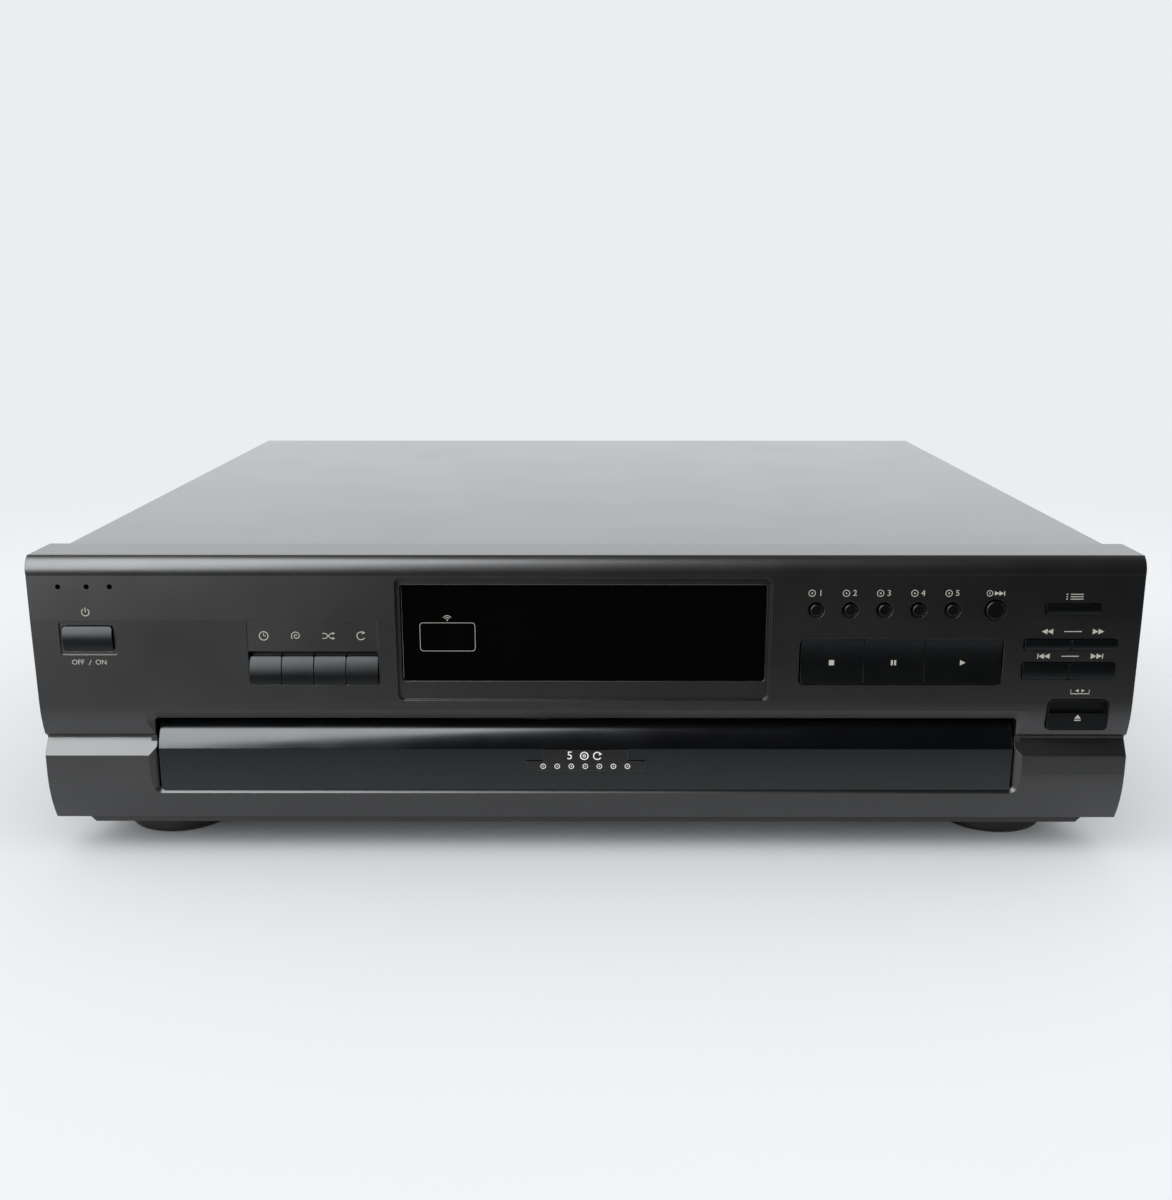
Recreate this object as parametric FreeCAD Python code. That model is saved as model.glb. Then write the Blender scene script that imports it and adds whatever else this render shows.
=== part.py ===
"""Five disc CD changer with a front drawer that carries a rotary carousel.

Millimetres. X runs to the right of someone facing the front, Y runs back, Z runs up.
Every piece is drawn with Y = 0 on the front face and Z = 0 on the floor. On export the whole
model is shifted along Y, so that the origin is the middle of the footprint on the floor.
"""
import FreeCAD, Part
import math
import os

V = FreeCAD.Vector

# ---- Fits and gaps -------------------------------------------------------------------------
RUN_FIT = 0.05            # radial clearance of a shaft that turns or slides in a hole
BODY_GAP = 0.3            # smallest gap between pieces that move past each other
KEY_GAP = 0.3             # gap round each button in its hole

# ---- Front panel ---------------------------------------------------------------------------
PANEL_END = 44.0          # from the side of the drawer opening to the panel's end
PANEL_BROW = 8.3          # from the display's recess up to the panel's top
PANEL_BOTTOM = 15.5
PANEL_DEPTH = 26.0        # depth of the moulded top strip
PANEL_WALL = 2.8
TOP_ROUND_DROP = 7.4      # height of the rounding along the front's upper edge
TOP_ROUND_BACK = 3.3      # depth of the same rounding
LEAN_START = 100.0        # below this height the face leans back
LEAN_END = 66.7
LEAN_BACK = 0.75
UNDERCUT_Z = 52.4         # lower edge of the upper fascia
UNDERCUT_BACK = 3.5
STEP_BACK = 5.8           # depth of the groove between the two fascias
STEP_TOP = 50.8
STEP_BOTTOM = 49.9
LEDGE_Z = 43.85           # front edge of the sloping ledge
LEDGE_BACK = 1.66
SKIRT_Z = 36.0            # below this height the lower fascia curves back
SKIRT_MID = (2.8, 26.9)
SKIRT_BACK = 7.3

# ---- Display -------------------------------------------------------------------------------
DISPLAY_X = -0.8
DISPLAY_WIDTH = 145.6
DISPLAY_BOTTOM = 67.0
DISPLAY_HEIGHT = 49.7
DISPLAY_ROUND = 2.5
DISPLAY_DEPTH = 4.0
DISPLAY_STEP = 2.0        # depth of the flat rim round the window
DISPLAY_DRAFT = 0.4
WINDOW_WIDTH = 142.3
WINDOW_SILL = 7.8         # from the lower edge of the recess up to the window
WINDOW_HEAD = 3.0         # from the window up to the upper edge of the recess
WINDOW_ROUND = 1.2
WINDOW_THICK = 2.0
WINDOW_SEAT = 2.0         # width of the window hidden behind its frame
TUBE_LENGTH = 112.0
TUBE_HEIGHT = 24.0
TUBE_DEPTH = 6.0

# ---- Drawer opening ------------------------------------------------------------------------
OPENING_BOTTOM = 29.0
OPENING_TOP = 59.0
OPENING_ROUND = 1.5
BEZEL_LEAD = 2.0          # how far the flared cut starts in front of the ledge
BEZEL_FLARE = 5.4         # how far the bezel spreads sideways from the opening
BEZEL_DROP = 5.7          # how far it spreads above and below
BEZEL_ROUND = 6.0
BEZEL_DEPTH = 3.7
COLLAR_WALL = 2.4
COLLAR_FRONT = 5.0
COLLAR_BACK = 10.0

# ---- Buttons -------------------------------------------------------------------------------
KEY_TRAVEL = 1.2
KEY_FLANGE = 1.0
KEY_LIP = 1.2             # how far a button's flange reaches past its hole
KEY_STEM_HALF = 1.5
SWITCH_PLAY = 0.1
SWITCH_HEIGHT = 4.3
SWITCH_SIZE = 6.0
SWITCH_PLUNGER_R = 1.7
SWITCH_PLUNGER = 0.8

POWER_INSET, POWER_Z = 21.75, 92.4        # insets run from the panel's end to a button's middle
POWER_WIDTH, POWER_HEIGHT = 19.3, 9.8
POWER_FRAME_WIDTH, POWER_FRAME_HEIGHT = 21.9, 13.0
POWER_FRAME_DEPTH = 0.6

MODE_COUNT = 4
MODE_PITCH = 12.6
MODE_X = -106.0           # middle of the bank of mode buttons
MODE_BOTTOM, MODE_TOP = 74.0, 84.9
MODE_SLOT_TOP = 87.4
MODE_LABEL_TOP = 100.1
MODE_LABEL_DEPTH = 0.35
MODE_ROUND = 0.6

DISC_COUNT = 5
DISC_KEY_PITCH = 13.15
DISC_KEY_X = 115.4        # middle of the row of disc buttons
DISC_KEY_Z = 104.1
DISC_KEY_R = 2.45
DISC_KEY_RING = 0.85      # width of the sunk ring round each disc button
DISC_SKIP_X = 158.2
DISC_SKIP_R = 3.7
DISC_SKIP_RING = 0.6
RING_DEPTH = 1.0

PLAYBACK_LEFT = 83.8
PLAYBACK_WIDTHS = (24.6, 23.8, 30.2)      # stop, pause, play
PLAYBACK_BOTTOM, PLAYBACK_TOP = 74.4, 92.1
PLAYBACK_ROUND = 2.5

PROGRAM_INSET, PROGRAM_Z = 26.7, 104.55
PROGRAM_WIDTH, PROGRAM_HEIGHT = 21.2, 3.9
PAIR_INSET = 26.5         # to the line between the two buttons of the search and skip pairs
PAIR_WIDTH = 17.9
SEARCH_Z, SEARCH_HEIGHT = 90.35, 4.1
SKIP_Z, SKIP_HEIGHT = 79.6, 6.6
BAR_ROUND = 0.8

OPEN_INSET = 21.1
OPEN_WIDTH = 24.0
OPEN_BOTTOM, OPEN_TOP = 55.0, 67.9
OPEN_ROUND = 2.0
OPEN_SCOOP_Z = 62.4       # lower edge of the finger scoop
OPEN_SCOOP = 1.6

# ---- Case ----------------------------------------------------------------------------------
COVER_INSET = 5.75        # from the panel's end to the cover's side
COVER_DROP = 0.7          # from the panel's top to the cover's top
COVER_SHEET = 0.9
COVER_SPACE = 7.6         # between the mechanism chassis and the cover's back edge
COVER_TUCK = 6.0          # how far the cover reaches under the panel's top strip
COVER_STEP = 3.0          # from the strip's back edge to the cover's step down
COVER_BOTTOM = 17.0
BASE_SHEET = 1.2
BASE_BOTTOM = 13.0
BASE_FRONT = 8.4
BASE_FRONT_INSET = 13.0
BASE_FLANGE = 12.0
REAR_SHEET = 1.0
REAR_INSET = 1.0
FOOT_R = 23.5
FOOT_TAPER = 1.5
FOOT_INSET = 33.25
FOOT_FRONT_Y = 48.0
FOOT_REAR_INSET = 43.6
FOOT_RECESS_R = 9.0
SCREW_R = 1.5
SCREW_HEAD_R = 3.0
SCREW_HEAD = 2.0
SCREW_LENGTH = 6.0
SIDE_SCREW_FRONT_Y = 90.0
SIDE_SCREW_REAR_INSET = 73.6
SIDE_SCREW_Z = 22.0
REAR_SCREW_X = (-150.0, 0.0, 150.0)
LUG_HALF = 5.0            # half width of the cover's lugs for the rear screws
LUG_BELOW = 4.0
LUG_SPARE = 1.0
REAR_SCREW_DROP = 8.0
VENT_COUNT = 9
VENT_PITCH = 9.0
VENT_WIDTH = 3.0
VENT_HEIGHT = 22.0
VENT_ROUND = 1.4
VENT_X = -90.0
VENT_DROP = 34.3          # from the cover's top down to the foot of the vents

# ---- Drawer and carousel -------------------------------------------------------------------
DRAWER_TRAVEL = 240.0
DRAWER_GAP = 1.2          # gap between the drawer front and the sides of its opening
DRAWER_FACE = 2.3
DRAWER_SHOULDER_Z = 46.5
DRAWER_SHOULDER_MID = (4.5, 52.2)
DRAWER_TOP_BACK = 8.8
DRAWER_TOP_GAP = 2.4      # gap between the drawer front's rolled top and its opening
DRAWER_BACK = 9.0
BADGE_LOWER_WIDTH, BADGE_UPPER_WIDTH = 47.5, 33.7
BADGE_BOTTOM, BADGE_STEP, BADGE_TOP = 37.6, 41.5, 46.3
BADGE_THICK = 0.8
FLOOR_BOTTOM = 36.0
FLOOR_THICK = 2.0
RUNNER_GAP = 0.5
TRAY_WALL = 1.8
TRAY_WALL_HEIGHT = 12.0
TRAY_SIDE = 2.6           # from the tray's wall to the side of the opening
TRAY_END = 2.5            # from the carousel to the tray's back edge
CAROUSEL_RIM = 0.94       # width of the carousel outside its pockets
CAROUSEL_RIM_GAP = 1.1
CAROUSEL_FRONT_GAP = 5.5
CAROUSEL_LIFT = 6.5       # from the tray's floor to the carousel
CAROUSEL_HEIGHT = 10.0
CAROUSEL_SHELL = 2.5
DISC_R = 60.0
POCKET_SLACK = 0.7
POCKET_LAND = 0.7         # wall left between neighbouring pockets
POCKET_DEPTH = 2.5
SMALL_POCKET_R = 40.6
SMALL_POCKET_DEPTH = 0.9
SLOT_HALF = 24.0
HUB_R = 12.0
SPINDLE_R = 4.0
CAP_R = 13.0
CAP_THICK = 2.2
SUPPORT_INSET = 15.5      # from the carousel's rim in to its support track
SUPPORT_WIDTH = 2.0

# ---- Gears ---------------------------------------------------------------------------------
PRESSURE = math.radians(20.0)
GEAR_BACKLASH = 0.12      # taken off each tooth's thickness on the pitch circle
RING_MODULE, RING_TEETH, PINION_TEETH = 1.0, 120, 14
RING_LIFT, RING_FACE = 2.3, 4.0
RING_WALL = 6.0
RACK_MODULE, RACK_PINION_TEETH = 1.5, 20
RACK_X = 120.0
RACK_BACKING = 6.0
RACK_HEIGHT = 4.0
RACK_MARGIN = 16.0
TRAIN_MODULE, TRAIN_BIG_TEETH, TRAIN_SMALL_TEETH = 1.0, 48, 12
TRAIN_FACE = 3.0
TRAIN_LIFT = 5.0          # from the mechanism floor to the lower gears
LOADING_Y = 60.0
BELT_PULLEY_R = 10.0
MOTOR_PULLEY_R = 3.5
PULLEY_FLANGE = 1.0
BELT_REACH = 41.0         # distance between the two pulleys
BELT_SIZE = 1.2
POST_R = 2.0
GEAR_POST_DROP = 0.4      # from the tray's underside to the ends of the gears' posts

# ---- Mechanism chassis ---------------------------------------------------------------------
MECH_WALL = 2.5
MECH_FLOOR_BOTTOM = 17.0
MECH_FLOOR = 2.0
MECH_FRONT = 12.0
MECH_REAR = 18.0          # from the tray's back edge to the chassis's back
RAIL_REACH = 12.7
RAIL_THICK = 3.0
LIP_THICK = 2.0
LIP_GAP = 0.5
LEG_R = 5.0
LEG_FRONT_Y, LEG_REAR_INSET = 34.0, 7.0
WELL_HALF = 42.0
WELL_FRONT_GAP, WELL_BACK_GAP = 5.0, 1.0
LIGHT_SIDE = 23.2         # floor left standing beside each side wall
LIGHT_FRONT_Y = 30.0
LIGHT_TRAIN_Y = 100.0
LIGHT_LEFT_X, LIGHT_RIGHT_X = 60.0, 60.0
LIGHT_REAR_X = 85.0
LIGHT_SLIDER_GAP = 15.0
LIGHT_DECK_GAP = 10.0
GUIDE_X, GUIDE_HALF = 45.0, 8.0
GUIDE_REAR_X, GUIDE_REAR_HALF = 12.0, 3.0
GUIDE_HEIGHT = 3.5
GUIDE_THICK = 1.6

# ---- Traverse deck -------------------------------------------------------------------------
DECK_LIFT = 15.0
DECK_HALF = 58.0
DECK_FRONT_REACH = 26.86  # from the disc's centre to the deck's front edge
DECK_END = 3.14           # spare travel behind the pickup
DECK_UNDER_PICKUP = 10.5
DECK_THICK = 2.5
DECK_FLANGE = 2.0
DECK_POST_X = 52.0
DECK_POST_INSETS = (9.0, 8.0)
DECK_POST_R = 2.5
DECK_POST_SPARE = 1.3
TUNNEL_HALF = 21.0        # half width of the opening that the pickup runs in
MOTOR_R = 12.5
PLATTER_R = 15.0
PLATTER_THICK = 3.0
DISC_LIFT = 0.5           # how far a raised disc clears the carousel's top
CONE_R, CONE_TOP_R, CONE_HEIGHT = 7.4, 5.6, 3.0
SHAFT_R = 1.0
PICKUP_HALF = 19.0
PICKUP_HOME = 24.0        # from the disc's centre to the lens at its inner limit
PICKUP_TRAVEL = 34.0
PICKUP_FRONT, PICKUP_REAR = 8.0, 12.0
PICKUP_UNDER = 1.0        # how far the pickup reaches below the deck
LENS_R, LENS_HEIGHT = 3.0, 3.0
LENS_GAP = 1.5            # from the lens up to a disc on the platter
ROD_R = 1.5
ROD_X = 16.0
ROD_LIFT = 3.5
ROD_HOLDER = 3.0
ROD_COVER = 0.6
SLED_X, SLED_DROP = 30.0, 5.2
SLED_BEARING_HALF = 3.5
SLED_SEAT_HALF = 6.0
SLED_MOTOR_R = 4.6
SLED_MOTOR_LENGTH = 18.0
SLED_MOTOR_GAP = 8.0      # gap between the motor and the optical block
SLED_SCREW_R = 1.5
SLIDER_GAP, SLIDER_THICK = 2.5, 2.5
SLIDER_HALF = 50.0
SLIDER_OVER = 4.5
SLIDER_SLOPE = math.radians(40.0)
LIFT_PIN_R = 2.0
LIFT_PIN_X = 34.0
LIFT_PIN_DROP = 1.0

# ---- Clamp ---------------------------------------------------------------------------------
BRIDGE_WIDTH = 36.0
BRIDGE_SHEET = 2.5
BRIDGE_RIB = 4.0
CLAMP_PAD_R, CLAMP_NECK_R, CLAMP_TOP_R = 14.5, 11.5, 15.5
CLAMP_GAP = 2.1           # from the carousel up to the clamper
CLAMP_UNDER = 0.6         # from the clamper's pad up to the bridge
CLAMP_PAD = 2.8
CLAMP_TOP_THICK = 2.0
CLAMP_PLAY = 0.5
CLAMP_RECESS_R, CLAMP_RECESS = 8.3, 2.4

# ---- Electronics ---------------------------------------------------------------------------
BOARD_THICK = 1.6
FRONT_BOARD_Y = 17.0
FRONT_BOARD_INSET = 11.0
FRONT_BOARD_BOTTOM, FRONT_BOARD_DROP = 64.0, 6.0
FRONT_BOARD_TAB_GAP = 7.0
FRONT_BOARD_TAB_REACH = 4.0
FRONT_BOARD_TAB_Z = 52.5
BOSS_R = 3.0
BOSS_EDGE = 4.0           # from the board's upper or lower edge to a boss
BOSS_END = 39.0           # from the board's left edge to its outer bosses
BOSS_TOP_X = (-90.0, 82.0)
BOSS_LOW_X = (-78.0, 168.0)
MAIN_BOARD_LIFT = 20.0    # from the mechanism's top to the main board
MAIN_BOARD_WIDTH, MAIN_BOARD_DEPTH = 146.0, 160.0
MAIN_BOARD_SIDE, MAIN_BOARD_REAR = 4.35, 5.6
BOARD_POST_INSETS = (10.0, 16.0)
CHIP_HEIGHT = 2.6
PLUG_SIZE = (7.0, 22.0, 8.0)
PLUG_PITCH = 34.0
FIRST_PLUG = (6.0, 20.0)         # from the main board's left front corner
HEAT_SINK_PLACE = (104.0, 66.0)
FIN_PITCH, FIN_THICK, FIN_DEPTH, FIN_COUNT = 6.4, 2.4, 13.0, 5
SINK_HEIGHT, SINK_WEB = 24.0, 2.5
BOARD_POST_R = 4.0
BRIDGE_POST_X = 70.0
CORE_SIZE = (15.0, 50.0, 42.0)
COIL_SIZE = (27.0, 34.0, 26.0)
CORE_GAP = 3.3            # from the mechanism's wall to the winding
CORE_REAR = 50.6
CORE_FOOT = 1.5
CORE_FOOT_REACH = 8.0
JACK_INSET = 36.0         # from the main board's right edge to the middle of the sockets
JACK_PITCH = 16.0
JACK_Z = 88.5
JACK_R = 4.15
JACK_LENGTH = 8.0
JACK_INNER_R = 3.4
JACK_SHOULDER_R = 5.6
JACK_CONTACT_R = 1.6
JACK_CONTACT_DEPTH = 7.0
JACK_BODY = 15.0
INLET_Z = 78.0
INLET_WIDTH, INLET_HEIGHT = 15.0, 8.5
INLET_WALL = 2.0
INLET_DEPTH = 13.0
INLET_FLANGE = 1.5
INLET_PIN_R = 1.2
INLET_PIN_PITCH = 8.6
INLET_PIN_LENGTH = 9.0

# ---- Values that follow from the ones above: across ----------------------------------------
POCKET_R = DISC_R + POCKET_SLACK
POCKET_RING_R = (POCKET_R + POCKET_LAND / 2) / math.sin(math.pi / DISC_COUNT)
CAROUSEL_R = POCKET_RING_R + POCKET_R + CAROUSEL_RIM
SUPPORT_R = CAROUSEL_R - SUPPORT_INSET
TRAY_WALL_INNER = CAROUSEL_R + CAROUSEL_RIM_GAP
TRAY_WALL_OUTER = TRAY_WALL_INNER + TRAY_WALL
OPENING_HALF = TRAY_WALL_OUTER + TRAY_SIDE
PANEL_HALF = OPENING_HALF + PANEL_END
DRAWER_HALF = OPENING_HALF - DRAWER_GAP
FLOOR_HALF = OPENING_HALF - RUNNER_GAP - BODY_GAP
MECH_INNER = FLOOR_HALF + RUNNER_GAP
MECH_OUTER = MECH_INNER + MECH_WALL
BOARD_POST_X = MECH_OUTER + BOARD_POST_R - 1.5
POWER_X = POWER_INSET - PANEL_HALF
PROGRAM_X = PANEL_HALF - PROGRAM_INSET
PAIR_X = PANEL_HALF - PAIR_INSET
OPEN_X = PANEL_HALF - OPEN_INSET
COVER_HALF = PANEL_HALF - COVER_INSET
COVER_INNER = COVER_HALF - COVER_SHEET
BASE_HALF = COVER_INNER - BODY_GAP
BASE_FRONT_HALF = PANEL_HALF - BASE_FRONT_INSET
FOOT_X = COVER_HALF - FOOT_INSET
FRONT_BOARD_HALF = PANEL_HALF - FRONT_BOARD_INSET
FRONT_BOARD_TAB_X = OPENING_HALF + FRONT_BOARD_TAB_GAP
MAIN_BOARD_RIGHT = COVER_INNER - MAIN_BOARD_SIDE
MAIN_BOARD_LEFT = MAIN_BOARD_RIGHT - MAIN_BOARD_WIDTH
JACK_X = MAIN_BOARD_RIGHT - JACK_INSET
CORE_X = -(MECH_OUTER + CORE_GAP + COIL_SIZE[0] / 2)
INLET_X = CORE_X
RING_R = RING_MODULE * RING_TEETH / 2
PINION_R = RING_MODULE * PINION_TEETH / 2
PINION_TO_RING = 90.0     # direction from the pinion to the middle of the ring, in degrees
RACK_PINION_R = RACK_MODULE * RACK_PINION_TEETH / 2
LOADING_GEAR_X = RACK_X - RACK_PINION_R
TRAIN_BIG_R = TRAIN_MODULE * TRAIN_BIG_TEETH / 2
TRAIN_SMALL_R = TRAIN_MODULE * TRAIN_SMALL_TEETH / 2
BELT_PULLEY_X = LOADING_GEAR_X - TRAIN_BIG_R - TRAIN_SMALL_R
MOTOR_PULLEY_X = BELT_PULLEY_X - BELT_REACH
SLIDER_TRAVEL = DECK_LIFT / math.tan(SLIDER_SLOPE)
TRAY_NOTCH_HALF = SLIDER_HALF + SLIDER_TRAVEL + 4.0

# ---- Values that follow: front to back -----------------------------------------------------
CAROUSEL_Y = DRAWER_BACK + CAROUSEL_FRONT_GAP + CAROUSEL_R
TRAY_BACK = CAROUSEL_Y + CAROUSEL_R + TRAY_END
MECH_BACK = TRAY_BACK + MECH_REAR
COVER_BACK = MECH_BACK + COVER_SPACE
REAR_BACK = COVER_BACK - REAR_INSET
REAR_FRONT = REAR_BACK - REAR_SHEET
FOOT_REAR_Y = COVER_BACK - FOOT_REAR_INSET
SIDE_SCREW_Y = (SIDE_SCREW_FRONT_Y, COVER_BACK - SIDE_SCREW_REAR_INSET)
PINION_Y = CAROUSEL_Y - RING_R - PINION_R
PLAY_Y = CAROUSEL_Y + POCKET_RING_R
LENS_Y = PLAY_Y + PICKUP_HOME
TUNNEL_FRONT = LENS_Y - PICKUP_FRONT - 1.0
DECK_FRONT = PLAY_Y - DECK_FRONT_REACH
DECK_BACK = LENS_Y + PICKUP_TRAVEL + PICKUP_REAR + DECK_END + ROD_HOLDER
DECK_POST_Y = (DECK_FRONT + DECK_POST_INSETS[0], DECK_BACK - DECK_POST_INSETS[1])
SLIDER_Y = DECK_FRONT - DECK_FLANGE - SLIDER_GAP - SLIDER_THICK
WELL_FRONT = DECK_FRONT + WELL_FRONT_GAP
WELL_BACK = DECK_BACK + WELL_BACK_GAP
TRAY_NOTCH_FRONT = SLIDER_Y - 5.0
MAIN_BOARD_BACK = REAR_FRONT - MAIN_BOARD_REAR
MAIN_BOARD_FRONT = MAIN_BOARD_BACK - MAIN_BOARD_DEPTH
BOARD_POST_Y = (MAIN_BOARD_FRONT + BOARD_POST_INSETS[0], MAIN_BOARD_BACK - BOARD_POST_INSETS[1])
CORE_Y = REAR_FRONT - CORE_REAR

# ---- Values that follow: heights -----------------------------------------------------------
DISPLAY_TOP = DISPLAY_BOTTOM + DISPLAY_HEIGHT
WINDOW_BOTTOM = DISPLAY_BOTTOM + WINDOW_SILL
WINDOW_TOP = DISPLAY_TOP - WINDOW_HEAD
PANEL_TOP = DISPLAY_TOP + PANEL_BROW
COVER_TOP = PANEL_TOP - COVER_DROP
VENT_Z = COVER_TOP - VENT_DROP
FRONT_BOARD_TOP = PANEL_TOP - FRONT_BOARD_DROP
DRAWER_BOTTOM = OPENING_BOTTOM + BODY_GAP
DRAWER_TOP = OPENING_TOP - DRAWER_TOP_GAP
BASE_TOP = BASE_BOTTOM + BASE_SHEET
FLOOR_TOP = FLOOR_BOTTOM + FLOOR_THICK
TRAY_WALL_TOP = FLOOR_TOP + TRAY_WALL_HEIGHT
RAIL_TOP = FLOOR_BOTTOM - BODY_GAP
RACK_BOTTOM = FLOOR_BOTTOM - RACK_HEIGHT
RING_BOTTOM = FLOOR_TOP + RING_LIFT
CAROUSEL_BOTTOM = FLOOR_TOP + CAROUSEL_LIFT
CAROUSEL_TOP = CAROUSEL_BOTTOM + CAROUSEL_HEIGHT
POCKET_FLOOR = CAROUSEL_TOP - POCKET_DEPTH
CLAMP_BOTTOM = CAROUSEL_TOP + CLAMP_GAP
MECH_FLOOR_TOP = MECH_FLOOR_BOTTOM + MECH_FLOOR
MECH_TOP = CLAMP_BOTTOM + CLAMP_PAD + CLAMP_UNDER
MAIN_BOARD_Z = MECH_TOP + MAIN_BOARD_LIFT
TRAIN_BOTTOM = MECH_FLOOR_TOP + TRAIN_LIFT
PLATTER_TOP = CAROUSEL_TOP + DISC_LIFT - DECK_LIFT
PLATTER_BOTTOM = PLATTER_TOP - PLATTER_THICK
LENS_TOP = PLATTER_TOP - LENS_GAP
PICKUP_TOP = LENS_TOP - LENS_HEIGHT
DECK_BOTTOM = PICKUP_TOP - DECK_UNDER_PICKUP
PICKUP_BOTTOM = DECK_BOTTOM - PICKUP_UNDER
ROD_Z = DECK_BOTTOM + ROD_LIFT
SLED_Z = DECK_BOTTOM - SLED_DROP
LIFT_PIN_Z = DECK_BOTTOM - LIFT_PIN_DROP
DECK_POST_TOP = DECK_BOTTOM + DECK_THICK + DECK_LIFT + DECK_POST_SPARE
SLIDER_BOTTOM = MECH_FLOOR_TOP + BODY_GAP
SLIDER_TOP = LIFT_PIN_Z + DECK_LIFT + SLIDER_OVER

# ---- The origin ----------------------------------------------------------------------------
KEY_PROUD = 1.0
POWER_FACE_Y = LEAN_BACK * (LEAN_START - POWER_Z) / (LEAN_START - LEAN_END)
OVERALL_FRONT = POWER_FACE_Y - KEY_PROUD
OVERALL_BACK = REAR_BACK + JACK_LENGTH
ORIGIN_SHIFT = -(OVERALL_FRONT + OVERALL_BACK) / 2


# ---- Drawing helpers -----------------------------------------------------------------------
def box(x0, x1, y0, y1, z0, z1):
    return Part.makeBox(x1 - x0, y1 - y0, z1 - z0, V(x0, y0, z0))


def post(x, y, z0, z1, r):
    """Upright cylinder."""
    return Part.makeCylinder(r, z1 - z0, V(x, y, z0), V(0, 0, 1))


def rod(x, z, y0, y1, r):
    """Cylinder lying front to back."""
    return Part.makeCylinder(r, y1 - y0, V(x, y0, z), V(0, 1, 0))


def cone(x, y, z0, z1, r0, r1):
    return Part.makeCone(r0, r1, z1 - z0, V(x, y, z0), V(0, 0, 1))


def joined(first, others):
    """One solid made of several that touch."""
    return first.fuse(list(others)).removeSplitter()


def cut(shape, tools):
    return shape.cut(list(tools))


def side_prism(points, x0, x1):
    """Outline in Y and Z, drawn out along X."""
    wire = Part.makePolygon([V(x0, y, z) for y, z in points + points[:1]])
    return Part.Face(wire).extrude(V(x1 - x0, 0, 0))


def rounded_wire(x0, x1, z0, z1, y, r):
    """Upright rectangle with round corners, facing the front."""
    k = r * math.sqrt(0.5)
    corners = [(x1 - r, z0 + r, 1, -1), (x1 - r, z1 - r, 1, 1),
               (x0 + r, z1 - r, -1, 1), (x0 + r, z0 + r, -1, -1)]
    edges = []
    ends = []
    for cx, cz, sx, sz in corners:
        along_x = V(cx, y, cz + sz * r)
        along_z = V(cx + sx * r, y, cz)
        start, end = (along_x, along_z) if sx * sz < 0 else (along_z, along_x)
        edges.append(Part.Arc(start, V(cx + sx * k, y, cz + sz * k), end).toShape())
        ends.append((start, end))
    sides = []
    for i, (start, end) in enumerate(ends):
        sides.append(Part.LineSegment(end, ends[(i + 1) % 4][0]).toShape())
    return Part.Wire(Part.__sortEdges__(edges + sides))


def rounded_plate(x0, x1, z0, z1, y0, y1, r):
    return Part.Face(rounded_wire(x0, x1, z0, z1, y0, r)).extrude(V(0, y1 - y0, 0))


def funnel(outer, inner):
    """Solid between two upright rectangles, each given as (x0, x1, z0, z1, y, r)."""
    return Part.makeLoft([rounded_wire(*outer), rounded_wire(*inner)], True, True)


def turned(shape, angle_deg, y=0.0, x=0.0):
    """Copy of a shape turned about an upright axis."""
    copy = shape.copy()
    copy.rotate(V(x, y, 0), V(0, 0, 1), angle_deg)
    return copy


# ---- Gears ---------------------------------------------------------------------------------
def involute_angle(base_r, r):
    """Angle that an involute has turned through where it reaches radius r."""
    roll = math.sqrt(max((r / base_r) ** 2 - 1, 0))
    return roll - math.atan(roll)


def gear(module, teeth, z0, z1, x, y, tooth_at_deg):
    """Spur gear with involute flanks and one tooth pointing along tooth_at_deg."""
    pitch_r = module * teeth / 2
    base_r = pitch_r * math.cos(PRESSURE)
    tip_r = pitch_r + 0.95 * module
    root_r = pitch_r - 1.25 * module
    start_r = max(base_r, root_r)
    half = math.pi / (2 * teeth) - GEAR_BACKLASH / (2 * pitch_r) + involute_angle(base_r, pitch_r)
    radii = [start_r + (tip_r - start_r) * i / 3 for i in range(4)]
    flank = [(r, half - involute_angle(base_r, r)) for r in radii]
    tooth = [(r, -a) for r, a in flank] + [(r, a) for r, a in reversed(flank)]
    if root_r < base_r:
        tooth = [(root_r, -half)] + tooth + [(root_r, half)]
    points = []
    for i in range(teeth):
        middle = math.radians(tooth_at_deg) + 2 * math.pi * i / teeth
        points += [V(x + r * math.cos(middle + a), y + r * math.sin(middle + a), z0) for r, a in tooth]
    points.append(points[0])
    return Part.Face(Part.makePolygon(points)).extrude(V(0, 0, z1 - z0))


def rack(module, x, y0, y1, z0, z1, backing, tooth_y):
    """Straight rack with teeth towards -X. A gap between teeth is centred on tooth_y."""
    pitch = math.pi * module
    tip_x, root_x = x - 0.95 * module, x + 1.25 * module
    gap = pitch / 4 + GEAR_BACKLASH / 2
    tip_gap = gap + (x - tip_x) * math.tan(PRESSURE)
    root_gap = gap - (root_x - x) * math.tan(PRESSURE)
    first = math.ceil((y0 + pitch - tooth_y) / pitch)
    last = math.floor((y1 - pitch - tooth_y) / pitch)
    points = [V(tip_x, y0, z0)]
    for i in range(first, last + 1):
        middle = tooth_y + i * pitch
        points += [V(tip_x, middle - tip_gap, z0), V(root_x, middle - root_gap, z0)]
        points += [V(root_x, middle + root_gap, z0), V(tip_x, middle + tip_gap, z0)]
    points += [V(tip_x, y1, z0), V(x + backing, y1, z0), V(x + backing, y0, z0), points[0]]
    return Part.Face(Part.makePolygon(points)).extrude(V(0, 0, z1 - z0))


# ---- Front panel ---------------------------------------------------------------------------
def face_y(z):
    """Depth of the upper fascia's face at height z."""
    if z >= LEAN_START:
        return 0.0
    if z >= LEAN_END:
        return LEAN_BACK * (LEAN_START - z) / (LEAN_START - LEAN_END)
    curve = (UNDERCUT_BACK - LEAN_BACK) / (LEAN_END - UNDERCUT_Z) ** 2
    return LEAN_BACK + curve * (LEAN_END - z) ** 2


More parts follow.
